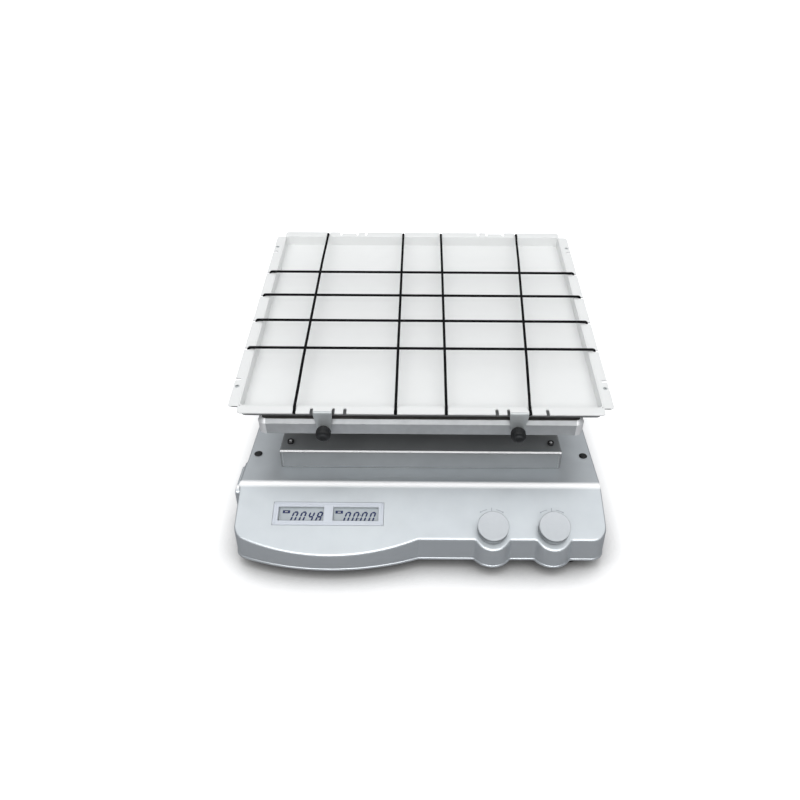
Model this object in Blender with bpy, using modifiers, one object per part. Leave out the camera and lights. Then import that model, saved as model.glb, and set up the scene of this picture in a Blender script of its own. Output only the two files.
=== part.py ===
"""Three-dimensional laboratory shaker, modelled as an assembly of its real pieces.

Units are metres, +Z is up, the front is towards -Y. The origin is on the ground, in the middle of the
footprint. Lengths that start at the drive axis are called reaches. A share is a plain ratio.

The motor turns a vertical shaft by a belt. The shaft carries a hub whose journal leans away from the
vertical. The platform rides on that journal in a bearing and a ball guide keeps it from turning, so it
tilts in every direction in turn without spinning: it nutates about the point where the two axes meet.
"""

import math

import bmesh
import bpy
from mathutils import Matrix, Vector, geometry

# General fits
GAP = 0.0003
OVERRUN = 0.004
BEARING_CLEARANCE = 0.0003
EDGE_RADIUS = 0.0012
WELD_DISTANCE = 0.00005
CURVE_WELD = 0.000001
FILL_TOLERANCE = 0.0000001

# Housing
BASE_WIDTH = 0.390
DECK_HEIGHT = 0.067
FOOT_HEIGHT = 0.012
HOUSING_WALL = 0.0025
REAR_REACH = 0.1865
BEND_REACH = 0.1833
SKIRT_REACH = 0.2405
SKIRT_TOP = 0.0412
BULGE_REACH = 0.2574
DISPLAY_BULGE_INSET = 0.008
DISPLAY_BULGE_TO_KNOB = 0.0777
BEND_RADIUS = 0.010
REAR_EDGE_RADIUS = 0.005
FRONT_CORNER_RADIUS = 0.015
REAR_CORNER_RADIUS = 0.012
BULGE_FILLET = 0.004
BULGE_SLANT = math.radians(50)
BOSS_OUT = 0.0019
BOSS_REAR_REACH = 0.1486
BOSS_FRONT_REACH = 0.1940
BOSS_FILLET = 0.0015

# Knobs on the panel
TIME_KNOB_INSET = 0.0557
KNOB_PITCH = 0.0636
KNOB_UP = 0.0112
KNOB_RADIUS = 0.0163
KNOB_TOP = 0.0116
KNOB_PUSH = 0.0008
KNOB_REST = 0.0004
KNOB_EDGE = 0.0016
KNOB_DOME = 0.0005
KNOB_SKIN = 0.0022
KNOB_CROWN_SHARE = 0.6
KNOB_CROWN_DROP_SHARE = 0.33
KNOB_EDGE_SHARE = 0.3
KNOB_BULGE_RADIUS = 0.021

# Encoders behind the knobs, measured down from the panel's face
SHAFT_RADIUS = 0.003
SHAFT_CLEARANCE = 0.0003
BUSH_RADIUS = 0.0045
ENCODER_SIDE = 0.014
ENCODER_TOP = 0.0032
ENCODER_HEIGHT = 0.0088
SHAFT_END_DEPTH = 0.0082
PLUNGER_RADIUS = 0.0024
PLUNGER_HEIGHT = 0.0021

# Display
DISPLAY_INSET = 0.0978
DISPLAY_UP = 0.0277
DISPLAY_WIDTH = 0.1175
DISPLAY_HEIGHT = 0.0266
DISPLAY_THICKNESS = 0.0036
DISPLAY_CORNER = 0.0010
WINDOW_WIDTH = 0.0478
WINDOW_HEIGHT = 0.0155
WINDOW_PITCH = 0.0579
LCD_WIDTH = 0.112
LCD_HEIGHT = 0.0235
LCD_THICKNESS = 0.005
LCD_LEG_RADIUS = 0.0015
LCD_LEG_INSET = 0.004
BOARD_THICKNESS = 0.0016
BOARD_MARGIN = 0.009
BOARD_UP = 0.0225
BOARD_HEIGHT = 0.036

# Bottom plate and feet
PLATE_THICKNESS = 0.0015
FOOT_INSET = 0.035
FOOT_FRONT_INSET = 0.0185
FOOT_REAR_INSET = 0.0235
FOOT_RADIUS = 0.0105
FOOT_TOP_RADIUS = 0.0125
FOOT_SCREW_RADIUS = 0.0048
FOOT_SCREW_DEPTH = 0.0035

# Deck plugs
PLUG_INSET = 0.0097
PLUG_REACH = 0.1326
PLUG_RADIUS = 0.0046
PLUG_TOP_SHARE = 0.8
PLUG_HEAD = 0.0011
PLUG_STEM_RADIUS = 0.0030
PLUG_STEM_LENGTH = 0.0055
PLUG_HOLE_RADIUS = 0.0033

# Pedestal on the deck
PEDESTAL_MARGIN = 0.0393
PEDESTAL_TOP = 0.0895
PEDESTAL_SHEET = 0.0015
PEDESTAL_CORNER = 0.0030
PEDESTAL_SCREW_SIDE_INSET = 0.0109
PEDESTAL_SCREW_END_INSET = 0.0151
SCREW_HEAD_RADIUS = 0.0042
SCREW_HEAD_HEIGHT = 0.0030
SCREW_SHANK_RADIUS = 0.0020
SCREW_SHANK_LENGTH = 0.0100
SCREW_HOLE_RADIUS = 0.0023
SOCKET_RADIUS = 0.0020
SOCKET_DEPTH = 0.0018

# Drive shaft and its bearings
DRIVE_SHAFT_RADIUS = 0.0085
DRIVE_SHAFT_BOTTOM = 0.0190
SHAFT_BEARING_RADIUS = 0.020
SHAFT_BEARING_WIDTH = 0.012
BEARING_SHIELD_DEPTH = 0.0006
BEARING_RACE_SHARE = 0.28
TOWER_RADIUS = 0.030
TOWER_BOTTOM = 0.042
TOWER_TOP = 0.0975
TOWER_FLANGE_RADIUS = 0.060
TOWER_FLANGE_THICKNESS = 0.0075
TOWER_BORE_RADIUS = 0.0160
TOWER_PASSAGE = 0.002

# Belt drive
DRIVE_PULLEY_RADIUS = 0.075
MOTOR_PULLEY_RADIUS = 0.010
PULLEY_BOTTOM = 0.0220
PULLEY_FLANGE_HEIGHT = 0.0025
PULLEY_FLANGE_THICKNESS = 0.0012
BELT_WIDTH = 0.010
BELT_THICKNESS = 0.0018
BELT_SIDE_CLEARANCE = 0.0005
PULLEY_HUB_RADIUS = 0.018
PULLEY_HUB_HEIGHT = 0.006
PULLEY_WEB_THICKNESS = 0.004
PULLEY_RIM_THICKNESS = 0.004
MOTOR_REACH = 0.122
MOTOR_RADIUS = 0.034
MOTOR_HEIGHT = 0.0220
MOTOR_EDGE = 0.0025
MOTOR_BOSS_RADIUS = 0.009
MOTOR_BOSS_HEIGHT = 0.002
MOTOR_SHAFT_RADIUS = 0.003
MOTOR_SHAFT_ENTRY = 0.014
MOTOR_BRACKET_THICKNESS = 0.0035
MOTOR_BRACKET_WIDTH = 0.096
MOTOR_BRACKET_DEPTH = 0.080
MOTOR_BRACKET_CORNER = 0.006

# Nutation: the leaning axis crosses the drive axis at the wobble centre
TILT = math.radians(9)
WOBBLE_HEIGHT = 0.140
HUB_RADIUS = 0.028
HUB_BOTTOM = 0.0995
HUB_TOP = 0.1140
HUB_SOCKET_TOP = 0.1105
HUB_EDGE = 0.0015
JOURNAL_RADIUS = 0.010
JOURNAL_COLLAR_RADIUS = 0.0130
JOURNAL_ROOT = 0.030
WOBBLE_BEARING_RADIUS = 0.0235
WOBBLE_BEARING_WIDTH = 0.014
RETAINER_RADIUS = 0.0125
RETAINER_THICKNESS = 0.0025
RETAINER_HEAD_RADIUS = 0.005
RETAINER_HEAD_HEIGHT = 0.005

# Tray and platform, measured along the leaning axis from the wobble centre
TRAY_RISE = 0.050
TRAY_HALF_WIDTH = 0.1970
TRAY_HALF_DEPTH = 0.1797
TRAY_FLANGE = 0.0118
TRAY_DEPTH = 0.0135
TRAY_SHEET = 0.0015
TRAY_CORNER = 0.0040
FLANGE_CORNER = 0.0040
FLANGE_END_GAP = 0.0015
CORD_PITCH = 0.0513
CORD_SLOT_WIDTH = 0.0034
CORD_SLOT_DEPTH = 0.0080
SIDE_SLOT_DEPTH = 0.0062
SIDE_HOLE_RADIUS = 0.0015
SIDE_HOLE_OFFSET = 0.0115
SIDE_HOLE_EDGE = 0.0042
TAB_X = 0.0998
TAB_WIDTH = 0.0181
TAB_END_WIDTH = 0.0140
TAB_END_ROUND_SHARE = 0.9
TAB_RELIEF = 0.0032
TAB_SETBACK = 0.0012
TAB_BEND_RADIUS = 0.0030
TAB_STRAIGHT = 0.0060
CLAMP_DROP = 0.0235
PLATFORM_SIDE_MARGIN = 0.0285
PLATFORM_SHEET = 0.0020
PLATFORM_RIM = 0.0165
PLATFORM_CORNER = 0.0080
PLATFORM_BEND = 0.0045
PLATFORM_TAB_CLEARANCE = 0.0010

# Clamp thumb-screws
STUD_RADIUS = 0.0024
STUD_HOLE_RADIUS = 0.0028
CLAMP_COLLAR_RADIUS = 0.0050
CLAMP_COLLAR_LENGTH = 0.0026
CLAMP_KNOB_RADIUS = 0.0077
CLAMP_KNOB_LENGTH = 0.0092
CLAMP_KNOB_EDGE = 0.0022

# Elastic cords
CORD_RADIUS = 0.0013
CORD_LIFT = 0.0003
CORD_DROP = 0.0080
CORD_KNOT_SHARE = 2.3
CORD_KNOT_END_SHARE = 1.6
CORD_KNOT_LENGTH = 0.0036
CORD_BEND_SHARE = 0.7
CORD_SHOULDER_SHARES = (0.2, 0.5)
CORD_CROWN_SHARE = 0.9

# Carrier under the platform and the ball guide
CARRIER_FLANGE_RADIUS = 0.070
CARRIER_FLANGE_EDGE = 0.0045
CARRIER_CUP_WALL = 0.0075
CARRIER_CUP_RISE = 0.018
CARRIER_SHOULDER = 0.0055
CARRIER_HEAD_ROOM = 0.0125
ARM_HALF_LENGTH = 0.125
ARM_WIDTH = 0.026
ARM_HEIGHT = 0.0060
GUIDE_REACH = 0.080
GUIDE_BALL_RADIUS = 0.008
GUIDE_POST_RADIUS = 0.004
GUIDE_FOOT_RADIUS = 0.011
GUIDE_FOOT_HEIGHT = 0.004
GUIDE_SIDE_CLEARANCE = 0.0008
GUIDE_END_CLEARANCE = 0.0012
FORK_THICKNESS = 0.008
FORK_PRONG = 0.0092
FORK_TIP_SHARE = 0.33
FORK_FLANGE_DEPTH = 0.022
FORK_FLANGE_HEIGHT = 0.0040

# Power switch, inlet and boards
SWITCH_LENGTH = 0.030
SWITCH_HEIGHT = 0.022
SWITCH_DEPTH = 0.022
SWITCH_RECESS = 0.0012
SWITCH_RIM = 0.0022
SWITCH_WELL_DEPTH = 0.0105
SWITCH_CENTRE_HEIGHT = 0.0385
ROCKER_TILT = math.radians(8)
ROCKER_CLEARANCE = 0.0008
ROCKER_PIVOT_DEPTH = 0.0056
ROCKER_TIP = 0.0030
ROCKER_VALLEY = 0.0016
ROCKER_KEEL = 0.0030
ROCKER_KEEL_SHARE = 0.33
INLET_INSET = 0.075
INLET_CENTRE_HEIGHT = 0.0385
INLET_WIDTH = 0.027
INLET_HEIGHT = 0.0195
INLET_DEPTH = 0.026
INLET_FLANGE = 0.0022
INLET_FLANGE_THICKNESS = 0.002
INLET_WALL = 0.0018
INLET_SOCKET_DEPTH = 0.016
INLET_CORNER = 0.0030
PIN_WIDTH = 0.004
PIN_HEIGHT = 0.002
PIN_PITCH = 0.007
PIN_OFFSET = 0.002
VENT_INSET = 0.090
VENT_COUNT = 7
VENT_PITCH = 0.0095
VENT_WIDTH = 0.003
VENT_HEIGHT = 0.024
POWER_BOARD_INSET = 0.083
POWER_BOARD_REACH = 0.098
POWER_BOARD_WIDTH = 0.090
POWER_BOARD_DEPTH = 0.070
POWER_BOARD_LIFT = 0.006
STANDOFF_RADIUS = 0.003
STANDOFF_INSET = 0.006
TRANSFORMER_WIDTH = 0.034
TRANSFORMER_DEPTH = 0.030
TRANSFORMER_HEIGHT = 0.024
CAPACITOR_RADIUS = 0.008
CAPACITOR_SPACING_SHARE = 1.4
CAPACITOR_HEIGHT = 0.022

# Worked out from the sizes above
KNOB_LIFT = KNOB_PUSH + KNOB_REST
HALF_WIDTH = BASE_WIDTH / 2
DISPLAY_X = DISPLAY_INSET - HALF_WIDTH
TIME_KNOB_X = HALF_WIDTH - TIME_KNOB_INSET
SPEED_KNOB_X = TIME_KNOB_X - KNOB_PITCH
DISPLAY_BULGE_LEFT = DISPLAY_BULGE_INSET - HALF_WIDTH
DISPLAY_BULGE_RIGHT = SPEED_KNOB_X - DISPLAY_BULGE_TO_KNOB
DISPLAY_BULGE_X = (DISPLAY_BULGE_LEFT + DISPLAY_BULGE_RIGHT) / 2
DISPLAY_BULGE_CHORD = DISPLAY_BULGE_RIGHT - DISPLAY_BULGE_LEFT
FOOT_X = HALF_WIDTH - FOOT_INSET
FOOT_FRONT_Y = FOOT_FRONT_INSET - SKIRT_REACH
FOOT_REAR_Y = REAR_REACH - FOOT_REAR_INSET
PLUG_X = HALF_WIDTH - PLUG_INSET
PEDESTAL_HALF = HALF_WIDTH - PEDESTAL_MARGIN
PEDESTAL_SCREW_X = PEDESTAL_HALF - PEDESTAL_SCREW_SIDE_INSET
PEDESTAL_SCREW_REACH = PEDESTAL_HALF - PEDESTAL_SCREW_END_INSET
PLATFORM_HALF_WIDTH = TRAY_HALF_WIDTH - PLATFORM_SIDE_MARGIN
INLET_X = INLET_INSET - HALF_WIDTH
VENT_X = HALF_WIDTH - VENT_INSET
POWER_BOARD_X = POWER_BOARD_INSET - HALF_WIDTH
PANEL_SLOPE = math.atan2(DECK_HEIGHT - SKIRT_TOP, SKIRT_REACH - BEND_REACH)
INLET_REACH = REAR_REACH + GAP + INLET_FLANGE_THICKNESS
DRIVE_Y = (BULGE_REACH - INLET_REACH) / 2
DECK_UNDERSIDE = DECK_HEIGHT - HOUSING_WALL
PLATE_TOP = FOOT_HEIGHT + PLATE_THICKNESS
PULLEY_WIDTH = BELT_WIDTH + 2 * BELT_SIDE_CLEARANCE + 2 * PULLEY_FLANGE_THICKNESS
BELT_MIDDLE = PULLEY_BOTTOM + PULLEY_WIDTH / 2
MOTOR_TOP = DECK_UNDERSIDE - GAP - MOTOR_BRACKET_THICKNESS - GAP
BOARD_DEPTH = ENCODER_TOP + ENCODER_HEIGHT + GAP
TRAY_INNER_HALF_WIDTH = TRAY_HALF_WIDTH - TRAY_FLANGE
TRAY_INNER_HALF_DEPTH = TRAY_HALF_DEPTH - TRAY_FLANGE
TRAY_BOTTOM = TRAY_RISE - TRAY_DEPTH - TRAY_SHEET
TAB_FACE = TRAY_HALF_DEPTH - TAB_SETBACK
PLATFORM_TOP = TRAY_BOTTOM - GAP
PLATFORM_HALF_DEPTH = TAB_FACE - TRAY_SHEET - PLATFORM_TAB_CLEARANCE
CARRIER_TOP = PLATFORM_TOP - PLATFORM_SHEET - GAP
CLAMP_RISE = TRAY_RISE - CLAMP_DROP
GUIDE_SWING = GUIDE_REACH * math.sin(TILT)
FORK_TOP = CARRIER_TOP - ARM_HEIGHT - GAP
CORD_SLOTS_SHARES = (-2.5, -1.5, -0.5, 0.5, 1.5, 2.5)
SIDES = (("left", -1), ("right", 1))
ENDS = (("front", -1), ("rear", 1))

# How finely round shapes are cut up, and decimals kept in an outline
ROUNDING = 7
ARC_STEP = math.radians(22.5)
KNOB_STEPS = 36
FINE_STEPS = 32
TURN_STEPS = 24
SMALL_STEPS = 12
BUSH_STEPS = 16
BALL_STEPS = 8
BULGE_STEPS = 10
BELT_STEPS = (24, 8)

COLLECTIONS = {}


def clear_scene():
    """Remove what the start-up file holds."""
    for old in list(bpy.data.objects):
        bpy.data.objects.remove(old, do_unlink=True)


def make_collection(key, name):
    """Add a collection to the scene and keep it under a short key."""
    collection = bpy.data.collections.new(name)
    bpy.context.scene.collection.children.link(collection)
    COLLECTIONS[key] = collection


def make_material(name, colour, roughness, metallic):
    """A Principled material with one colour."""
    material = bpy.data.materials.new(name)
    material.use_nodes = True
    shader = material.node_tree.nodes["Principled BSDF"]
    shader.inputs["Base Color"].default_value = (*colour, 1.0)
    shader.inputs["Roughness"].default_value = roughness
    shader.inputs["Metallic"].default_value = metallic
    material.diffuse_color = (*colour, 1.0)
    return material


def make_frame(name, location, rotation=(0, 0, 0), parent=None):
    """An empty that carries the pieces of one sub-assembly."""
    frame = bpy.data.objects.new(name, None)
    frame.location = location
    frame.rotation_euler = rotation
    frame.parent = parent
    frame.empty_display_size = TRAY_RISE
    COLLECTIONS["parts"].objects.link(frame)
    return frame


def finish(obj, material, parent, location=(0, 0, 0), rotation=(0, 0, 0)):
    """Place a part, give it its material and shade its round faces smooth."""
    obj.parent = parent
    obj.location = location
    obj.rotation_euler = rotation
    obj.data.materials.clear()
    obj.data.materials.append(material)
    obj.data.shade_smooth()
    obj.data.set_sharp_from_angle(angle=math.radians(32))
    return obj


def as_cutter(obj, parent=None, location=(0, 0, 0), rotation=(0, 0, 0)):
    """Move an object among the cutters and hide it from renders."""
    COLLECTIONS["parts"].objects.unlink(obj)
    COLLECTIONS["cutters"].objects.link(obj)
    obj.hide_render = True
    obj.display_type = "WIRE"
    obj.parent = parent
    obj.location = location
    obj.rotation_euler = rotation
    return obj


def combine(target, tool, operation):
    """Add an exact Boolean of the tool to the target."""
    modifier = target.modifiers.new(f"{operation.lower()} {tool.name}", "BOOLEAN")
    modifier.operation = operation
    modifier.solver = "EXACT"
    modifier.object = tool
    return modifier


def add_mesh(name, shape):
    """Make an object from a bmesh."""
    mesh = bpy.data.meshes.new(name)
    shape.to_mesh(mesh)
    shape.free()
    obj = bpy.data.objects.new(name, mesh)
    COLLECTIONS["parts"].objects.link(obj)
    return obj


def add_box(name, size, centre=(0, 0, 0)):
    """A box with its centre at a point."""
    shape = bmesh.new()
    bmesh.ops.create_cube(shape, size=1.0)
    bmesh.ops.scale(shape, vec=Vector(size), verts=shape.verts)
    bmesh.ops.translate(shape, vec=Vector(centre), verts=shape.verts)
    return add_mesh(name, shape)


def add_cylinder(name, radius, bottom, top, steps=TURN_STEPS, centre=(0, 0)):
    """An upright cylinder between two heights."""
    shape = bmesh.new()
    bmesh.ops.create_cone(
        shape,
        cap_ends=True,
        segments=steps,
        radius1=radius,
        radius2=radius,
        depth=top - bottom,
    )
    bmesh.ops.translate(shape, vec=Vector((*centre, (top + bottom) / 2)), verts=shape.verts)
    return add_mesh(name, shape)


def add_turned(name, profile, steps=TURN_STEPS, closed=False):
    """A profile of (radius, height) points, top to bottom on the outside, turned about Z."""
    mesh = bpy.data.meshes.new(name)
    edges = [(index, index + 1) for index in range(len(profile) - 1)]
    if closed:
        edges.append((len(profile) - 1, 0))
    mesh.from_pydata([(radius, 0, height) for radius, height in profile], edges, [])
    obj = bpy.data.objects.new(name, mesh)
    COLLECTIONS["parts"].objects.link(obj)
    screw = obj.modifiers.new("turn", "SCREW")
    screw.axis = "Z"
    screw.steps = steps
    screw.render_steps = steps
    screw.use_merge_vertices = True
    screw.merge_threshold = 0.00001
    screw.use_normal_calculate = False
    return obj


def round_corners(corners):
    """Outline of (x, y, radius) corners with an arc in place of each sharp one."""
    points = []
    count = len(corners)
    for index, (x, y, radius) in enumerate(corners):
        here = Vector((x, y))
        if radius <= 0:
            points.append(here)
            continue
        back = (Vector(corners[index - 1][:2]) - here).normalized()
        ahead = (Vector(corners[(index + 1) % count][:2]) - here).normalized()
        half = back.angle(ahead) / 2
        centre = here + (back + ahead).normalized() * (radius / math.sin(half))
        start = here + back * (radius / math.tan(half)) - centre
        end = here + ahead * (radius / math.tan(half)) - centre
        first = math.atan2(start.y, start.x)
        turn = math.atan2(end.y, end.x) - first
        turn = (turn + math.pi) % (2 * math.pi) - math.pi
        steps = max(2, math.ceil(abs(turn) / ARC_STEP))
        for step in range(steps + 1):
            angle = first + turn * step / steps
            points.append(centre + Vector((math.cos(angle), math.sin(angle))) * radius)
    return [(round(point.x, ROUNDING), round(point.y, ROUNDING)) for point in points]


def is_inside(place, outline):
    """Whether a point lies in an outline."""
    inside = False
    for index, (x, y) in enumerate(outline):
        before_x, before_y = outline[index - 1]
        if (y > place.y) != (before_y > place.y):
            crossing = x + (place.y - y) * (before_x - x) / (before_y - y)
            if place.x < crossing:
                inside = not inside
    return inside


def fill_outline(outline):
    """Points of an outline and the triangles that fill it, each counter-clockwise."""
    points = [Vector(place) for place in outline]
    count = len(points)
    edges = [(index, (index + 1) % count) for index in range(count)]
    filled = geometry.delaunay_2d_cdt(points, edges, [], 0, FILL_TOLERANCE)
    triangles = []
    for corners in filled[2]:
        middle = (points[corners[0]] + points[corners[1]] + points[corners[2]]) / 3
        if is_inside(middle, outline):
            triangles.append(corners)
    return points, triangles


def add_plate(name, outlines, bottom, top):
    """A flat plate from an outline, and any hole outlines, between two heights."""
    curve = bpy.data.curves.new(name, "CURVE")
    curve.dimensions = "2D"
    curve.fill_mode = "BOTH"
    curve.extrude = (top - bottom) / 2
    for outline in outlines:
        spline = curve.splines.new("POLY")
        spline.points.add(len(outline) - 1)
        spline.use_cyclic_u = True
        for point, (x, y) in zip(spline.points, outline):
            point.co = (x, y, 0, 1)
    return curve_to_mesh(name, curve, (top + bottom) / 2)


def add_plan_block(name, outline, bottom, top):
    """An upright block on the housing's plan outline.

    Several of the plan's points lie in one line. A filled curve gets triangles of no area between such
    points, which the exact Booleans can't take, so the ends of this block are filled here.
    """
    spots, triangles = fill_outline(outline)
    shape = bmesh.new()
    low = [shape.verts.new((spot.x, spot.y, bottom)) for spot in spots]
    high = [shape.verts.new((spot.x, spot.y, top)) for spot in spots]
    for corners in triangles:
        shape.faces.new([low[index] for index in reversed(corners)])
        shape.faces.new([high[index] for index in corners])
    count = len(outline)
    for index in range(count):
        after = (index + 1) % count
        shape.faces.new((low[index], low[after], high[after], high[index]))
    bmesh.ops.recalc_face_normals(shape, faces=shape.faces)
    return add_mesh(name, shape)


def curve_to_mesh(name, curve, lift=0):
    """Turn a curve into a welded mesh object and raise it."""
    holder = bpy.data.objects.new(name, curve)
    COLLECTIONS["parts"].objects.link(holder)
    graph = bpy.context.evaluated_depsgraph_get()
    mesh = bpy.data.meshes.new_from_object(holder.evaluated_get(graph))
    bpy.data.objects.remove(holder, do_unlink=True)
    bpy.data.curves.remove(curve)
    shape = bmesh.new()
    shape.from_mesh(mesh)
    bpy.data.meshes.remove(mesh)
    bmesh.ops.remove_doubles(shape, verts=shape.verts, dist=CURVE_WELD)
    bmesh.ops.translate(shape, vec=Vector((0, 0, lift)), verts=shape.verts)
    bmesh.ops.recalc_face_normals(shape, faces=shape.faces)
    return add_mesh(name, shape)


def turn_mesh(obj, matrix):
    """Turn an object's mesh in its own space."""
    obj.data.transform(matrix)
    return obj


def along_x():
    """Turns a plate drawn as (depth, height) to stand up, thickness along X."""
    return Matrix(((0, 0, 1, 0), (1, 0, 0, 0), (0, 1, 0, 0), (0, 0, 0, 1)))


def along_y():
    """Turns a plate drawn as (width, height) to stand up, thickness along Y."""
    return Matrix(((1, 0, 0, 0), (0, 0, -1, 0), (0, 1, 0, 0), (0, 0, 0, 1)))


def rectangle(half_width, half_depth, radius, centre=(0, 0)):
    """Rounded rectangle outline about a centre."""
    x, y = centre
    return round_corners(
        [
            (x - half_width, y - half_depth, radius),
            (x + half_width, y - half_depth, radius),
            (x + half_width, y + half_depth, radius),
            (x - half_width, y + half_depth, radius),
        ]
    )


def weld(obj):
    """Merge points that a Boolean left on top of one another."""
    modifier = obj.modifiers.new("weld", "WELD")
    modifier.merge_threshold = WELD_DISTANCE
    return modifier


def bevel(obj, width, segments=1, angle=math.radians(40)):
    """Round an object's sharp edges."""
    weld(obj)
    modifier = obj.modifiers.new("round edges", "BEVEL")
    modifier.width = width
    modifier.segments = segments
    modifier.limit_method = "ANGLE"
    modifier.angle_limit = angle
    modifier.use_clamp_overlap = True
    return modifier


def knob_bulge(knob_x, inset):
    """Corners of the round nose that the skirt makes in front of a knob."""
    centre_y = -(SKIRT_REACH - KNOB_UP * math.cos(PANEL_SLOPE))
    radius = KNOB_BULGE_RADIUS - inset
    front = -(SKIRT_REACH - inset)
    tip = centre_y - radius / math.cos(BULGE_SLANT)
    half = (front - tip) / math.tan(BULGE_SLANT)
    fillet = BULGE_FILLET + inset
    return [(knob_x - half, front, fillet), (knob_x, tip, radius), (knob_x + half, front, fillet)]


def display_bulge(inset):
    """Corners along the wide arc that the skirt makes in front of the display."""
    sagitta = BULGE_REACH - SKIRT_REACH
    radius = (DISPLAY_BULGE_CHORD**2 / 4 + sagitta**2) / (2 * sagitta)
    centre_y = radius - BULGE_REACH
    radius -= inset
    front = -(SKIRT_REACH - inset)
    side = -(HALF_WIDTH - inset)
    last = math.asin(math.sqrt(radius**2 - (front - centre_y) ** 2) / radius)
    first = math.asin((side + FRONT_CORNER_RADIUS - DISPLAY_BULGE_X) / radius)
    corner_y = centre_y - math.sqrt(radius**2 - (side - DISPLAY_BULGE_X) ** 2)
    corners = [(side, corner_y, FRONT_CORNER_RADIUS - inset)]
    for step in range(BULGE_STEPS + 1):
        angle = first + (last - first) * step / BULGE_STEPS
        x = DISPLAY_BULGE_X + radius * math.sin(angle)
        y = centre_y - radius * math.cos(angle)
        corners.append((x, y, BULGE_FILLET + inset if step == BULGE_STEPS else 0))
    return corners


def plan_outline(inset, with_boss=False):
    """Outline of the housing from above, drawn in by an inset."""
    half = HALF_WIDTH - inset
    rear = REAR_REACH - inset
    corners = [(-half, rear, REAR_CORNER_RADIUS - inset)]
    if with_boss:
        out = half + BOSS_OUT
        corners.append((-half, -BOSS_REAR_REACH, 0))
        corners.append((-out, -BOSS_REAR_REACH, BOSS_FILLET))
        corners.append((-out, -(BOSS_FRONT_REACH - BEND_RADIUS), BOSS_FILLET))
        corners.append((-half, -BOSS_FRONT_REACH, 0))
    corners += display_bulge(inset)
    corners += knob_bulge(SPEED_KNOB_X, inset)
    corners += knob_bulge(TIME_KNOB_X, inset)
    corners.append((half, -(SKIRT_REACH - inset), FRONT_CORNER_RADIUS - inset))
    corners.append((half, rear, REAR_CORNER_RADIUS - inset))
    return round_corners(corners)


def side_outline(inset, bottom):
    """Outline of the housing from the side, as (depth, height), drawn in by an inset."""
    deck = DECK_HEIGHT - inset
    bend = -BEND_REACH + inset * math.tan(PANEL_SLOPE / 2)
    far = -(BULGE_REACH + OVERRUN)
    far_height = deck + (far - bend) * math.tan(PANEL_SLOPE)
    rear = REAR_REACH - inset
    return round_corners(
        [
            (rear, bottom, 0),
            (rear, deck, REAR_EDGE_RADIUS - inset),
            (bend, deck, BEND_RADIUS - inset),
            (far, far_height, 0),
            (far, bottom, 0),
        ]
    )


def add_housing_block(name, inset, bottom, with_boss=False):
    """Solid with the housing's plan and side view, drawn in by an inset."""
    block = add_plan_block(name, plan_outline(inset, with_boss), bottom, DECK_HEIGHT + OVERRUN)
    width = HALF_WIDTH + OVERRUN
    side = add_plate(f"{name}_side_view", [side_outline(inset, bottom - OVERRUN)], -width, width)
    turn_mesh(side, along_x())
    return block, side


def make_housing(frame, panel, material):
    """Cast housing: deck, bend, panel and skirt in one shell, open below."""
    block, side = add_housing_block("base_housing", 0, FOOT_HEIGHT, with_boss=True)
    combine(block, as_cutter(side, frame), "INTERSECT")
    bevel(block, EDGE_RADIUS)
    weld(block)
    core, core_side = add_housing_block("housing_core", HOUSING_WALL, FOOT_HEIGHT - OVERRUN)
    combine(core, as_cutter(core_side, frame), "INTERSECT")
    combine(block, as_cutter(core, frame), "DIFFERENCE")
    for cutter in housing_openings(frame, panel):
        combine(block, cutter, "DIFFERENCE")
    return finish(block, material, frame)


def housing_openings(frame, panel):
    """Cutters for every opening in the housing."""
    cutters = []
    deck_low = DECK_UNDERSIDE - OVERRUN
    deck_high = DECK_HEIGHT + OVERRUN
    passage = add_cylinder("tower_hole", TOWER_RADIUS + TOWER_PASSAGE, deck_low, deck_high)
    cutters.append(as_cutter(passage, frame))
    for end, y_sign in ENDS:
        for side, x_sign in SIDES:
            centre = (x_sign * PLUG_X, y_sign * PLUG_REACH)
            name = f"{end}_{side}_plug_hole"
            hole = add_cylinder(name, PLUG_HOLE_RADIUS, deck_low, deck_high, SMALL_STEPS, centre)
            cutters.append(as_cutter(hole, frame))
    display = add_plate(
        "display_opening",
        [rectangle(DISPLAY_WIDTH / 2, DISPLAY_HEIGHT / 2, DISPLAY_CORNER, (DISPLAY_X, DISPLAY_UP))],
        -(HOUSING_WALL + OVERRUN),
        OVERRUN,
    )
    cutters.append(as_cutter(display, panel))
    for name, knob_x in (("speed", SPEED_KNOB_X), ("time", TIME_KNOB_X)):
        hole = add_cylinder(
            f"{name}_bush_hole",
            BUSH_RADIUS + GAP,
            -(HOUSING_WALL + OVERRUN),
            OVERRUN,
            BUSH_STEPS,
            (knob_x, KNOB_UP),
        )
        cutters.append(as_cutter(hole, panel))
    cutters += side_and_rear_openings(frame)
    return cutters


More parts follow.
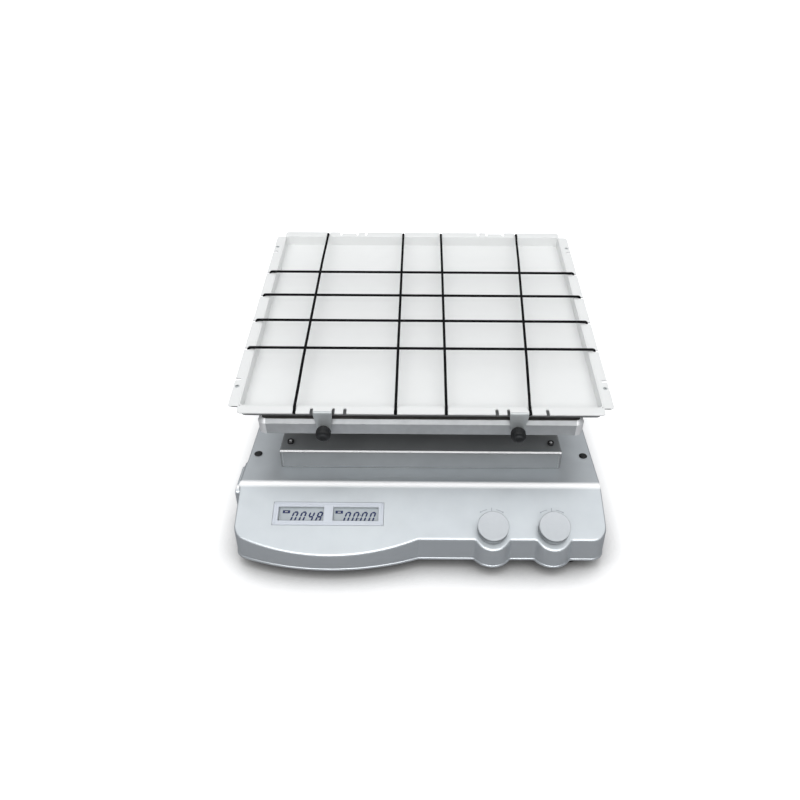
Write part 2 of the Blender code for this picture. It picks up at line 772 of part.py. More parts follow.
def side_and_rear_openings(frame):
    """Cutters for the switch, the inlet and the vent slots."""
    wall_x = -(HALF_WIDTH + BOSS_OUT)
    depth = 2 * (HOUSING_WALL + BOSS_OUT + OVERRUN)
    switch = add_box(
        "switch_opening",
        (depth, SWITCH_LENGTH + 2 * GAP, SWITCH_HEIGHT + 2 * GAP),
        (wall_x, -boss_middle(), SWITCH_CENTRE_HEIGHT),
    )
    cutters = [as_cutter(switch, frame)]
    inlet = add_box(
        "inlet_opening",
        (INLET_WIDTH + 2 * GAP, depth, INLET_HEIGHT + 2 * GAP),
        (INLET_X, REAR_REACH, INLET_CENTRE_HEIGHT),
    )
    cutters.append(as_cutter(inlet, frame))
    for index in range(VENT_COUNT):
        offset = (index - (VENT_COUNT - 1) / 2) * VENT_PITCH
        slot = add_box(f"vent_{index + 1}", (VENT_WIDTH, depth, VENT_HEIGHT))
        cutters.append(as_cutter(slot, frame, (VENT_X + offset, REAR_REACH, INLET_CENTRE_HEIGHT)))
    return cutters


def boss_middle():
    """Reach of the middle of the boss on the left side."""
    return (BOSS_REAR_REACH + BOSS_FRONT_REACH) / 2


def make_bottom(frame, plate_material, rubber):
    """Bottom plate and the four feet under it."""
    plate = add_plan_block("bottom_plate", plan_outline(HOUSING_WALL + GAP), FOOT_HEIGHT, PLATE_TOP)
    finish(plate, plate_material, frame)
    top = FOOT_HEIGHT - GAP
    profile = [
        (0, top),
        (FOOT_TOP_RADIUS, top),
        (FOOT_TOP_RADIUS, top - EDGE_RADIUS),
        (FOOT_RADIUS, EDGE_RADIUS),
        (FOOT_RADIUS - EDGE_RADIUS, 0),
        (FOOT_SCREW_RADIUS, 0),
        (FOOT_SCREW_RADIUS, FOOT_SCREW_DEPTH),
        (0, FOOT_SCREW_DEPTH),
    ]
    for end, foot_y in (("front", FOOT_FRONT_Y), ("rear", FOOT_REAR_Y)):
        for side, x_sign in SIDES:
            foot = add_turned(f"{end}_{side}_foot", profile, SMALL_STEPS)
            finish(foot, rubber, frame, (x_sign * FOOT_X, foot_y, 0))


def make_plugs(frame, material):
    """Black plugs pressed into the deck."""
    head = PLUG_HEAD + GAP
    profile = [
        (0, head),
        (PLUG_RADIUS * PLUG_TOP_SHARE, head),
        (PLUG_RADIUS, GAP),
        (PLUG_STEM_RADIUS, GAP),
        (PLUG_STEM_RADIUS, -PLUG_STEM_LENGTH),
        (0, -PLUG_STEM_LENGTH),
    ]
    for end, y_sign in ENDS:
        for side, x_sign in SIDES:
            plug = add_turned(f"{end}_{side}_deck_plug", profile, SMALL_STEPS)
            finish(plug, material, frame, (x_sign * PLUG_X, y_sign * PLUG_REACH, DECK_HEIGHT))


def make_pedestal(frame, sheet_material, steel):
    """Raised sheet-metal box on the deck, with a passage for the drive and four screws."""
    bottom = DECK_HEIGHT + GAP
    outline = rectangle(PEDESTAL_HALF, PEDESTAL_HALF, PEDESTAL_CORNER)
    cover = add_plate("pedestal_cover", [outline], bottom, PEDESTAL_TOP)
    bevel(cover, EDGE_RADIUS)
    inner = PEDESTAL_HALF - PEDESTAL_SHEET
    core = add_plate(
        "pedestal_core",
        [rectangle(inner, inner, PEDESTAL_CORNER - PEDESTAL_SHEET)],
        bottom - OVERRUN,
        PEDESTAL_TOP - PEDESTAL_SHEET,
    )
    combine(cover, as_cutter(core, frame), "DIFFERENCE")
    low = PEDESTAL_TOP - PEDESTAL_SHEET - OVERRUN
    high = PEDESTAL_TOP + OVERRUN
    passage = add_cylinder("pedestal_passage", TOWER_RADIUS + TOWER_PASSAGE, low, high)
    combine(cover, as_cutter(passage, frame), "DIFFERENCE")
    for end, y_sign in ENDS:
        for side, x_sign in SIDES:
            centre = (x_sign * PEDESTAL_SCREW_X, y_sign * PEDESTAL_SCREW_REACH)
            hole = add_cylinder(f"{end}_{side}_screw_hole", SCREW_HOLE_RADIUS, low, high, SMALL_STEPS, centre)
            combine(cover, as_cutter(hole, frame), "DIFFERENCE")
            make_screw(f"{end}_{side}_pedestal_screw", frame, (*centre, PEDESTAL_TOP + GAP), steel)
    finish(cover, sheet_material, frame)


def make_screw(name, frame, location, material):
    """Socket-head screw with its head standing on a face."""
    profile = [
        (0, SCREW_HEAD_HEIGHT - SOCKET_DEPTH),
        (SOCKET_RADIUS, SCREW_HEAD_HEIGHT - SOCKET_DEPTH),
        (SOCKET_RADIUS, SCREW_HEAD_HEIGHT),
        (SCREW_HEAD_RADIUS, SCREW_HEAD_HEIGHT),
        (SCREW_HEAD_RADIUS, 0),
        (SCREW_SHANK_RADIUS, 0),
        (SCREW_SHANK_RADIUS, -SCREW_SHANK_LENGTH),
        (0, -SCREW_SHANK_LENGTH),
    ]
    screw = add_turned(name, profile, SMALL_STEPS)
    finish(screw, material, frame, location)


def make_display(panel, frame_material, lcd_material, board_material):
    """Display frame with two windows, the display module behind it and the control board."""
    centre = (DISPLAY_X, DISPLAY_UP)
    outlines = [
        rectangle(DISPLAY_WIDTH / 2 - GAP, DISPLAY_HEIGHT / 2 - GAP, DISPLAY_CORNER, centre),
    ]
    for sign in (-1, 1):
        window = (DISPLAY_X + sign * WINDOW_PITCH / 2, DISPLAY_UP)
        outlines.append(rectangle(WINDOW_WIDTH / 2, WINDOW_HEIGHT / 2, DISPLAY_CORNER / 2, window))
    surround = add_plate("display_frame", outlines, -DISPLAY_THICKNESS, 0)
    finish(surround, frame_material, panel)

    lcd_top = -(DISPLAY_THICKNESS + GAP)
    lcd_bottom = lcd_top - LCD_THICKNESS
    board_top = -BOARD_DEPTH
    module = add_box(
        "display_module",
        (LCD_WIDTH, LCD_HEIGHT, LCD_THICKNESS),
        (DISPLAY_X, DISPLAY_UP, (lcd_top + lcd_bottom) / 2),
    )
    for x_sign in (-1, 1):
        for y_sign in (-1, 1):
            spot = (
                DISPLAY_X + x_sign * (LCD_WIDTH / 2 - LCD_LEG_INSET),
                DISPLAY_UP + y_sign * (LCD_HEIGHT / 2 - LCD_LEG_INSET),
            )
            leg = add_cylinder(
                f"display_leg_{x_sign + 1}{y_sign + 1}",
                LCD_LEG_RADIUS,
                board_top + GAP,
                lcd_bottom + LCD_THICKNESS / 2,
                SMALL_STEPS,
                spot,
            )
            combine(module, as_cutter(leg, panel), "UNION")
    finish(module, lcd_material, panel)

    left = DISPLAY_X - LCD_WIDTH / 2 - BOARD_MARGIN
    right = TIME_KNOB_X + ENCODER_SIDE / 2 + BOARD_MARGIN
    board = add_box(
        "control_board",
        (right - left, BOARD_HEIGHT, BOARD_THICKNESS),
        ((left + right) / 2, BOARD_UP, board_top - BOARD_THICKNESS / 2),
    )
    finish(board, board_material, panel)


def make_dial(name, knob_x, panel, knob_material, encoder_material, steel):
    """Push-and-turn knob with its shaft, plunger and encoder."""
    place = (knob_x, KNOB_UP, 0)
    bore = SHAFT_RADIUS + SHAFT_CLEARANCE
    encoder_bottom = -(ENCODER_TOP + ENCODER_HEIGHT)
    encoder = add_box(
        f"{name}_encoder",
        (ENCODER_SIDE, ENCODER_SIDE, ENCODER_HEIGHT),
        (0, 0, encoder_bottom + ENCODER_HEIGHT / 2),
    )
    bush = add_cylinder(f"{name}_bush", BUSH_RADIUS, encoder_bottom + ENCODER_HEIGHT / 2, -GAP, BUSH_STEPS)
    combine(encoder, as_cutter(bush, panel, place), "UNION")
    hollow = add_cylinder(f"{name}_encoder_bore", bore, encoder_bottom - OVERRUN, OVERRUN, SMALL_STEPS)
    combine(encoder, as_cutter(hollow, panel, place), "DIFFERENCE")
    finish(encoder, encoder_material, panel, place)

    shaft_bottom = -SHAFT_END_DEPTH
    shaft_top = KNOB_TOP - KNOB_SKIN - GAP
    shaft = add_cylinder(f"{name}_shaft", SHAFT_RADIUS, shaft_bottom, shaft_top, SMALL_STEPS)
    finish(shaft, steel, panel, place)

    plunger_top = shaft_bottom - GAP
    plunger = add_cylinder(
        f"{name}_plunger", PLUNGER_RADIUS, plunger_top - PLUNGER_HEIGHT, plunger_top, SMALL_STEPS
    )
    finish(plunger, encoder_material, panel, place)

    roof = KNOB_TOP - KNOB_SKIN
    edge = KNOB_EDGE * KNOB_EDGE_SHARE
    profile = [
        (0, KNOB_TOP),
        (KNOB_RADIUS * KNOB_CROWN_SHARE, KNOB_TOP - KNOB_DOME * KNOB_CROWN_DROP_SHARE),
        (KNOB_RADIUS - KNOB_EDGE, KNOB_TOP - KNOB_DOME),
        (KNOB_RADIUS - edge, KNOB_TOP - KNOB_DOME - edge),
        (KNOB_RADIUS, KNOB_TOP - KNOB_DOME - KNOB_EDGE),
        (KNOB_RADIUS, KNOB_LIFT),
        (SHAFT_RADIUS + GAP, KNOB_LIFT),
        (SHAFT_RADIUS + GAP, roof),
        (0, roof),
    ]
    knob = add_turned(f"{name}_knob", profile, KNOB_STEPS)
    finish(knob, knob_material, panel, place)


def make_switch(frame, black):
    """Rocker switch sunk in the boss on the left side."""
    face = -(HALF_WIDTH + BOSS_OUT - SWITCH_RECESS)
    place = (face, -boss_middle(), SWITCH_CENTRE_HEIGHT)
    body = add_box("switch_housing", (SWITCH_DEPTH, SWITCH_LENGTH, SWITCH_HEIGHT), (SWITCH_DEPTH / 2, 0, 0))
    well_length = SWITCH_LENGTH - 2 * SWITCH_RIM
    well_height = SWITCH_HEIGHT - 2 * SWITCH_RIM
    well = add_box("switch_well", (2 * SWITCH_WELL_DEPTH, well_length, well_height))
    combine(body, as_cutter(well, frame, place), "DIFFERENCE")
    finish(body, black, frame, place)

    half = well_length / 2 - ROCKER_CLEARANCE
    keel = half * ROCKER_KEEL_SHARE
    outline = round_corners(
        [
            (-half, ROCKER_TIP, EDGE_RADIUS / 2),
            (0, ROCKER_VALLEY, 0),
            (half, ROCKER_TIP, EDGE_RADIUS / 2),
            (half - ROCKER_CLEARANCE, -ROCKER_KEEL / 2, 0),
            (keel, -ROCKER_KEEL, 0),
            (-keel, -ROCKER_KEEL, 0),
            (-(half - ROCKER_CLEARANCE), -ROCKER_KEEL / 2, 0),
        ]
    )
    thick = well_height / 2 - ROCKER_CLEARANCE / 2
    rocker = add_plate("power_rocker", [outline], -thick, thick)
    turn_mesh(rocker, Matrix.Rotation(math.pi / 2, 4, "Z"))
    pivot = (place[0] + ROCKER_PIVOT_DEPTH, place[1], place[2])
    finish(rocker, black, frame, pivot, (0, 0, ROCKER_TILT))


def make_inlet(frame, black):
    """Appliance inlet in the rear wall, with its three pins."""
    place = (INLET_X, REAR_REACH, INLET_CENTRE_HEIGHT)
    face = GAP + INLET_FLANGE_THICKNESS
    flange = rectangle(INLET_WIDTH / 2 + INLET_FLANGE, INLET_HEIGHT / 2 + INLET_FLANGE, INLET_CORNER)
    body = add_plate("power_inlet", [flange], GAP, face)
    turn_mesh(body, along_y())
    turn_mesh(body, Matrix.Rotation(math.pi, 4, "Z"))
    shell = add_box(
        "inlet_shell",
        (INLET_WIDTH, INLET_DEPTH + face / 2, INLET_HEIGHT),
        (0, (face / 2 - INLET_DEPTH) / 2, 0),
    )
    combine(body, as_cutter(shell, frame, place), "UNION")
    socket = add_box(
        "inlet_socket",
        (INLET_WIDTH - 2 * INLET_WALL, 2 * INLET_SOCKET_DEPTH, INLET_HEIGHT - 2 * INLET_WALL),
        (0, face, 0),
    )
    combine(body, as_cutter(socket, frame, place), "DIFFERENCE")
    floor = face - INLET_SOCKET_DEPTH
    for index, height in ((-1, -PIN_OFFSET), (0, PIN_OFFSET), (1, -PIN_OFFSET)):
        pin = add_box(
            f"inlet_pin_{index + 2}",
            (PIN_HEIGHT, INLET_SOCKET_DEPTH, PIN_WIDTH),
            (index * PIN_PITCH, floor + INLET_SOCKET_DEPTH / 2 - INLET_WALL, height),
        )
        combine(body, as_cutter(pin, frame, place), "UNION")
    finish(body, black, frame, place)


def make_power_board(frame, material):
    """Power board on its standoffs, with a transformer and two capacitors."""
    lift = PLATE_TOP + GAP
    low = lift + POWER_BOARD_LIFT
    top = low + BOARD_THICKNESS
    place = (POWER_BOARD_X, POWER_BOARD_REACH, 0)
    board = add_box(
        "power_board",
        (POWER_BOARD_WIDTH, POWER_BOARD_DEPTH, BOARD_THICKNESS),
        (0, 0, (low + top) / 2),
    )
    for x_sign in (-1, 1):
        for y_sign in (-1, 1):
            spot = (
                x_sign * (POWER_BOARD_WIDTH / 2 - STANDOFF_INSET),
                y_sign * (POWER_BOARD_DEPTH / 2 - STANDOFF_INSET),
            )
            name = f"standoff_{x_sign + 1}{y_sign + 1}"
            middle = low + BOARD_THICKNESS / 2
            standoff = add_cylinder(name, STANDOFF_RADIUS, lift, middle, SMALL_STEPS, spot)
            combine(board, as_cutter(standoff, frame, place), "UNION")
    block = add_box(
        "transformer",
        (TRANSFORMER_WIDTH, TRANSFORMER_DEPTH, TRANSFORMER_HEIGHT + BOARD_THICKNESS / 2),
        (-POWER_BOARD_WIDTH / 4, 0, top + (TRANSFORMER_HEIGHT - BOARD_THICKNESS / 2) / 2),
    )
    combine(board, as_cutter(block, frame, place), "UNION")
    for sign in (-1, 1):
        spot = (POWER_BOARD_WIDTH / 4, sign * CAPACITOR_RADIUS * CAPACITOR_SPACING_SHARE)
        can = add_cylinder(
            f"capacitor_{sign + 2}",
            CAPACITOR_RADIUS,
            top - BOARD_THICKNESS / 2,
            top + CAPACITOR_HEIGHT,
            SMALL_STEPS,
            spot,
        )
        combine(board, as_cutter(can, frame, place), "UNION")
    finish(board, material, frame, place)


def bearing_profile(inner, outer, bottom, width):
    """Closed profile of a ball bearing with its upper shield set in between the races."""
    top = bottom + width
    race = (outer - inner) * BEARING_RACE_SHARE
    shield = top - BEARING_SHIELD_DEPTH
    return [
        (inner + race, shield),
        (outer - race, shield),
        (outer - race, top),
        (outer, top),
        (outer, bottom),
        (inner, bottom),
        (inner, top),
        (inner + race, top),
    ]


def make_drive(frame, cast, steel):
    """Bearing tower, drive shaft, pulley and the hub with the leaning journal."""
    seat = SHAFT_BEARING_RADIUS + BEARING_CLEARANCE
    flange_low = DECK_HEIGHT + GAP
    flange_high = flange_low + TOWER_FLANGE_THICKNESS
    upper_shoulder = TOWER_TOP - SHAFT_BEARING_WIDTH - 2 * GAP
    lower_shoulder = TOWER_BOTTOM + SHAFT_BEARING_WIDTH + 2 * GAP
    profile = [
        (TOWER_RADIUS, TOWER_TOP),
        (TOWER_RADIUS, flange_high),
        (TOWER_FLANGE_RADIUS, flange_high),
        (TOWER_FLANGE_RADIUS, flange_low),
        (TOWER_RADIUS, flange_low),
        (TOWER_RADIUS, TOWER_BOTTOM),
        (seat, TOWER_BOTTOM),
        (seat, lower_shoulder),
        (TOWER_BORE_RADIUS, lower_shoulder),
        (TOWER_BORE_RADIUS, upper_shoulder),
        (seat, upper_shoulder),
        (seat, TOWER_TOP),
    ]
    finish(add_turned("bearing_tower", profile, FINE_STEPS, closed=True), cast, frame)

    inner = DRIVE_SHAFT_RADIUS + BEARING_CLEARANCE
    for name, bottom in (
        ("upper_shaft_bearing", upper_shoulder + GAP),
        ("lower_shaft_bearing", TOWER_BOTTOM + GAP),
    ):
        ring = bearing_profile(inner, SHAFT_BEARING_RADIUS, bottom, SHAFT_BEARING_WIDTH)
        finish(add_turned(name, ring, TURN_STEPS, closed=True), steel, frame)

    shaft_top = HUB_SOCKET_TOP - GAP
    shaft = add_cylinder("drive_shaft", DRIVE_SHAFT_RADIUS, DRIVE_SHAFT_BOTTOM, shaft_top)
    finish(shaft, steel, frame)
    make_drive_pulley(frame, cast)


def make_drive_pulley(frame, material):
    """Large flanged pulley with a web and a hub."""
    bottom = PULLEY_BOTTOM
    top = bottom + PULLEY_WIDTH
    middle = BELT_MIDDLE
    rim = DRIVE_PULLEY_RADIUS
    edge = rim + PULLEY_FLANGE_HEIGHT
    inner_rim = rim - PULLEY_RIM_THICKNESS
    web_high = middle + PULLEY_WEB_THICKNESS / 2
    web_low = middle - PULLEY_WEB_THICKNESS / 2
    hub_top = middle + PULLEY_WIDTH / 2 + PULLEY_HUB_HEIGHT / 2
    bore = DRIVE_SHAFT_RADIUS + GAP
    profile = [
        (inner_rim, top),
        (edge, top),
        (edge, top - PULLEY_FLANGE_THICKNESS),
        (rim, top - PULLEY_FLANGE_THICKNESS),
        (rim, bottom + PULLEY_FLANGE_THICKNESS),
        (edge, bottom + PULLEY_FLANGE_THICKNESS),
        (edge, bottom),
        (inner_rim, bottom),
        (inner_rim, web_low),
        (bore, web_low),
        (bore, hub_top),
        (PULLEY_HUB_RADIUS, hub_top),
        (PULLEY_HUB_RADIUS, web_high),
        (inner_rim, web_high),
    ]
    finish(add_turned("drive_pulley", profile, FINE_STEPS, closed=True), material, frame)


def make_hub(frame, wobble, steel):
    """Hub on the shaft's top, its journal on the leaning axis, and the retainer."""
    profile = [
        (0, HUB_TOP),
        (HUB_RADIUS - HUB_EDGE, HUB_TOP),
        (HUB_RADIUS, HUB_TOP - HUB_EDGE),
        (HUB_RADIUS, HUB_BOTTOM + HUB_EDGE),
        (HUB_RADIUS - HUB_EDGE, HUB_BOTTOM),
        (0, HUB_BOTTOM),
    ]
    hub = add_turned("wobble_hub", profile)
    half_bearing = WOBBLE_BEARING_WIDTH / 2
    collar_top = -half_bearing - GAP
    journal = [
        (0, half_bearing),
        (JOURNAL_RADIUS, half_bearing),
        (JOURNAL_RADIUS, collar_top),
        (JOURNAL_COLLAR_RADIUS, collar_top),
        (JOURNAL_COLLAR_RADIUS, -JOURNAL_ROOT),
        (0, -JOURNAL_ROOT),
    ]
    combine(hub, as_cutter(add_turned("journal", journal), wobble), "UNION")
    socket = add_cylinder("hub_socket", DRIVE_SHAFT_RADIUS + GAP, HUB_BOTTOM - OVERRUN, HUB_SOCKET_TOP)
    combine(hub, as_cutter(socket, frame), "DIFFERENCE")
    finish(hub, steel, frame)

    seat = half_bearing + GAP
    top = seat + RETAINER_THICKNESS
    retainer = [
        (0, top + RETAINER_HEAD_HEIGHT),
        (RETAINER_HEAD_RADIUS, top + RETAINER_HEAD_HEIGHT),
        (RETAINER_HEAD_RADIUS, top),
        (RETAINER_RADIUS, top),
        (RETAINER_RADIUS, seat),
        (0, seat),
    ]
    finish(add_turned("journal_retainer", retainer, SMALL_STEPS), steel, wobble)

    inner = JOURNAL_RADIUS + BEARING_CLEARANCE
    ring = bearing_profile(inner, WOBBLE_BEARING_RADIUS, -half_bearing, WOBBLE_BEARING_WIDTH)
    finish(add_turned("wobble_bearing", ring, TURN_STEPS, closed=True), steel, wobble)


def belt_outline(offset):
    """Loop round both pulleys, at an offset from their rims."""
    large = DRIVE_PULLEY_RADIUS + offset
    small = MOTOR_PULLEY_RADIUS + offset
    lean = math.asin((large - small) / MOTOR_REACH)
    points = []
    for centre, radius, first, last, steps in (
        (0, large, math.pi - lean, 2 * math.pi + lean, BELT_STEPS[0]),
        (MOTOR_REACH, small, lean, math.pi - lean, BELT_STEPS[1]),
    ):
        for step in range(steps + 1):
            angle = first + (last - first) * step / steps
            points.append((radius * math.cos(angle), centre + radius * math.sin(angle)))
    return points


def make_motor(frame, black, steel, cast):
    """Motor hung under the deck on its bracket, with its pulley and the belt."""
    place = (0, MOTOR_REACH, 0)
    bracket_top = DECK_UNDERSIDE - GAP
    bracket = add_plate(
        "motor_bracket",
        [rectangle(MOTOR_BRACKET_WIDTH / 2, MOTOR_BRACKET_DEPTH / 2, MOTOR_BRACKET_CORNER)],
        bracket_top - MOTOR_BRACKET_THICKNESS,
        bracket_top,
    )
    finish(bracket, cast, frame, place)

    low = MOTOR_TOP - MOTOR_HEIGHT
    boss_low = low - MOTOR_BOSS_HEIGHT
    bore = MOTOR_SHAFT_RADIUS + SHAFT_CLEARANCE
    shaft_top = boss_low + MOTOR_SHAFT_ENTRY
    profile = [
        (0, MOTOR_TOP),
        (MOTOR_RADIUS, MOTOR_TOP),
        (MOTOR_RADIUS, low + MOTOR_EDGE),
        (MOTOR_RADIUS - MOTOR_EDGE, low),
        (MOTOR_BOSS_RADIUS, low),
        (MOTOR_BOSS_RADIUS, boss_low),
        (bore, boss_low),
        (bore, shaft_top + GAP),
        (0, shaft_top + GAP),
    ]
    finish(add_turned("motor", profile, TURN_STEPS), black, frame, place)
    shaft = add_cylinder("motor_shaft", MOTOR_SHAFT_RADIUS, PULLEY_BOTTOM, shaft_top, SMALL_STEPS)
    finish(shaft, steel, frame, place)

    bottom = PULLEY_BOTTOM
    top = bottom + PULLEY_WIDTH
    edge = MOTOR_PULLEY_RADIUS + PULLEY_FLANGE_HEIGHT
    pulley = [
        (bore, top),
        (edge, top),
        (edge, top - PULLEY_FLANGE_THICKNESS),
        (MOTOR_PULLEY_RADIUS, top - PULLEY_FLANGE_THICKNESS),
        (MOTOR_PULLEY_RADIUS, bottom + PULLEY_FLANGE_THICKNESS),
        (edge, bottom + PULLEY_FLANGE_THICKNESS),
        (edge, bottom),
        (bore, bottom),
    ]
    finish(add_turned("motor_pulley", pulley, BUSH_STEPS, closed=True), cast, frame, place)

    belt = add_plate(
        "drive_belt",
        [belt_outline(GAP + BELT_THICKNESS), belt_outline(GAP)],
        BELT_MIDDLE - BELT_WIDTH / 2,
        BELT_MIDDLE + BELT_WIDTH / 2,
    )
    finish(belt, black, frame)


def make_carrier(wobble, cast):
    """Bearing cup with a flange and cross arms that carry the platform."""
    seat = WOBBLE_BEARING_RADIUS + BEARING_CLEARANCE
    cup = seat + CARRIER_CUP_WALL
    half_bearing = WOBBLE_BEARING_WIDTH / 2
    shoulder = half_bearing + GAP
    room_top = shoulder + CARRIER_HEAD_ROOM
    flange_low = CARRIER_TOP - CARRIER_FLANGE_EDGE
    profile = [
        (0, CARRIER_TOP),
        (CARRIER_FLANGE_RADIUS, CARRIER_TOP),
        (CARRIER_FLANGE_RADIUS, flange_low),
        (cup + CARRIER_CUP_WALL, CARRIER_CUP_RISE + CARRIER_CUP_WALL / 2),
        (cup, CARRIER_CUP_RISE),
        (cup, -half_bearing),
        (seat, -half_bearing),
        (seat, shoulder),
        (seat - CARRIER_SHOULDER, shoulder),
        (seat - CARRIER_SHOULDER, room_top),
        (0, room_top),
    ]
    carrier = add_turned("platform_carrier", profile, FINE_STEPS)
    for name, size in (
        ("cross_arm_x", (2 * ARM_HALF_LENGTH, ARM_WIDTH, ARM_HEIGHT)),
        ("cross_arm_y", (ARM_WIDTH, 2 * ARM_HALF_LENGTH, ARM_HEIGHT)),
    ):
        arm = add_box(name, size, (0, 0, CARRIER_TOP - ARM_HEIGHT / 2))
        combine(carrier, as_cutter(arm, wobble), "UNION")
    finish(carrier, cast, wobble)


def make_guide(frame, wobble, steel):
    """Ball post on the pedestal and the fork that hangs round it from the carrier."""
    foot = PEDESTAL_TOP + GAP
    foot_top = foot + GUIDE_FOOT_HEIGHT
    join = math.asin(GUIDE_POST_RADIUS / GUIDE_BALL_RADIUS)
    profile = []
    for step in range(BALL_STEPS + 1):
        angle = (math.pi - join) * step / BALL_STEPS
        height = WOBBLE_HEIGHT + GUIDE_BALL_RADIUS * math.cos(angle)
        profile.append((GUIDE_BALL_RADIUS * math.sin(angle), height))
    profile += [
        (GUIDE_POST_RADIUS, foot_top),
        (GUIDE_FOOT_RADIUS, foot_top),
        (GUIDE_FOOT_RADIUS, foot),
        (0, foot),
    ]
    finish(add_turned("guide_post", profile, BUSH_STEPS), steel, frame, (0, GUIDE_REACH, 0))

    slot = GUIDE_BALL_RADIUS + GUIDE_SIDE_CLEARANCE
    reach = GUIDE_SWING + GUIDE_BALL_RADIUS + GUIDE_END_CLEARANCE
    outer = slot + FORK_PRONG
    prong_edge = FORK_PRONG * FORK_TIP_SHARE
    outline = round_corners(
        [
            (-outer, FORK_TOP, 0),
            (-outer, -reach, prong_edge),
            (-slot, -reach, prong_edge),
            (-slot, reach, slot / 2),
            (slot, reach, slot / 2),
            (slot, -reach, prong_edge),
            (outer, -reach, prong_edge),
            (outer, FORK_TOP, 0),
        ]
    )
    fork = add_plate("guide_fork", [outline], -FORK_THICKNESS / 2, FORK_THICKNESS / 2)
    turn_mesh(fork, along_y())
    place = (0, GUIDE_REACH, 0)
    flange = add_box(
        "fork_flange",
        (2 * outer, FORK_FLANGE_DEPTH, FORK_FLANGE_HEIGHT),
        (0, 0, FORK_TOP - FORK_FLANGE_HEIGHT / 2),
    )
    combine(fork, as_cutter(flange, wobble, place), "UNION")
    finish(fork, steel, wobble, place)


def make_platform(wobble, material):
    """Sheet platform with rims bent down all round."""
    bottom = PLATFORM_TOP - PLATFORM_RIM
    outline = rectangle(PLATFORM_HALF_WIDTH, PLATFORM_HALF_DEPTH, PLATFORM_CORNER)
    platform = add_plate("platform", [outline], bottom, PLATFORM_TOP)
    edge = platform.modifiers.new("bend radius", "BEVEL")
    edge.width = PLATFORM_BEND
    edge.segments = 3
    edge.limit_method = "ANGLE"
    edge.angle_limit = math.radians(60)
    core = add_plate(
        "platform_core",
        [
            rectangle(
                PLATFORM_HALF_WIDTH - PLATFORM_SHEET,
                PLATFORM_HALF_DEPTH - PLATFORM_SHEET,
                PLATFORM_CORNER - PLATFORM_SHEET,
            )
        ],
        bottom - OVERRUN - PLATFORM_BEND,
        PLATFORM_TOP - PLATFORM_SHEET,
    )
    bevel(core, PLATFORM_BEND - PLATFORM_SHEET, 3, math.radians(60))
    combine(platform, as_cutter(core, wobble), "DIFFERENCE")
    finish(platform, material, wobble)


def make_tray(wobble, material):
    """White sheet tray: floor, walls, four slotted flanges and four bent clamp tabs."""
    wall_x = TRAY_INNER_HALF_WIDTH + TRAY_SHEET
    wall_y = TRAY_INNER_HALF_DEPTH + TRAY_SHEET
    outline = rectangle(wall_x, wall_y, TRAY_CORNER)
    tray = add_plate("tray", [outline], TRAY_BOTTOM, TRAY_RISE)
    bevel(tray, TRAY_SHEET, 2, math.radians(60))
    for flange in tray_flanges(wobble):
        combine(tray, flange, "UNION")
    cavity = add_plate(
        "tray_cavity",
        [rectangle(TRAY_INNER_HALF_WIDTH, TRAY_INNER_HALF_DEPTH, TRAY_CORNER - TRAY_SHEET)],
        TRAY_RISE - TRAY_DEPTH,
        TRAY_RISE + OVERRUN,
    )
    combine(tray, as_cutter(cavity, wobble), "DIFFERENCE")
    for cutter in tray_slots(wobble):
        combine(tray, cutter, "DIFFERENCE")
    for tab in tray_tabs(wobble):
        combine(tray, tab, "UNION")
    for end, y_sign in ENDS:
        for side, x_sign in SIDES:
            hole = add_cylinder(
                f"{end}_{side}_clamp_hole", STUD_HOLE_RADIUS, -TRAY_FLANGE, TRAY_FLANGE / 2, SMALL_STEPS
            )
            place = (x_sign * TAB_X, y_sign * TAB_FACE, CLAMP_RISE)
            cutter = as_cutter(hole, wobble, place, (math.pi / 2 * -y_sign, 0, 0))
            combine(tray, cutter, "DIFFERENCE")
    finish(tray, material, wobble)


def tray_flanges(wobble):
    """The four out-turned flanges, apart from one another at the corners."""
    flanges = []
    low = TRAY_RISE - TRAY_SHEET
    side_half = TRAY_INNER_HALF_DEPTH + TRAY_SHEET - FLANGE_END_GAP / 2
    end_half = TRAY_INNER_HALF_WIDTH + TRAY_SHEET - FLANGE_END_GAP / 2
    for name, sign in SIDES:
        inner = sign * (TRAY_INNER_HALF_WIDTH - TRAY_SHEET)
        outer = sign * TRAY_HALF_WIDTH
        outline = round_corners(
            [
                (inner, -side_half, 0),
                (outer, -side_half, FLANGE_CORNER),
                (outer, side_half, FLANGE_CORNER),
                (inner, side_half, 0),
            ]
        )
        flanges.append(as_cutter(add_plate(f"{name}_flange", [outline], low, TRAY_RISE), wobble))
    for name, sign in ENDS:
        inner = sign * (TRAY_INNER_HALF_DEPTH - TRAY_SHEET)
        outer = sign * TRAY_HALF_DEPTH
        outline = round_corners(
            [
                (-end_half, inner, 0),
                (-end_half, outer, FLANGE_CORNER),
                (end_half, outer, FLANGE_CORNER),
                (end_half, inner, 0),
            ]
        )
        flanges.append(as_cutter(add_plate(f"{name}_flange", [outline], low, TRAY_RISE), wobble))
    return flanges


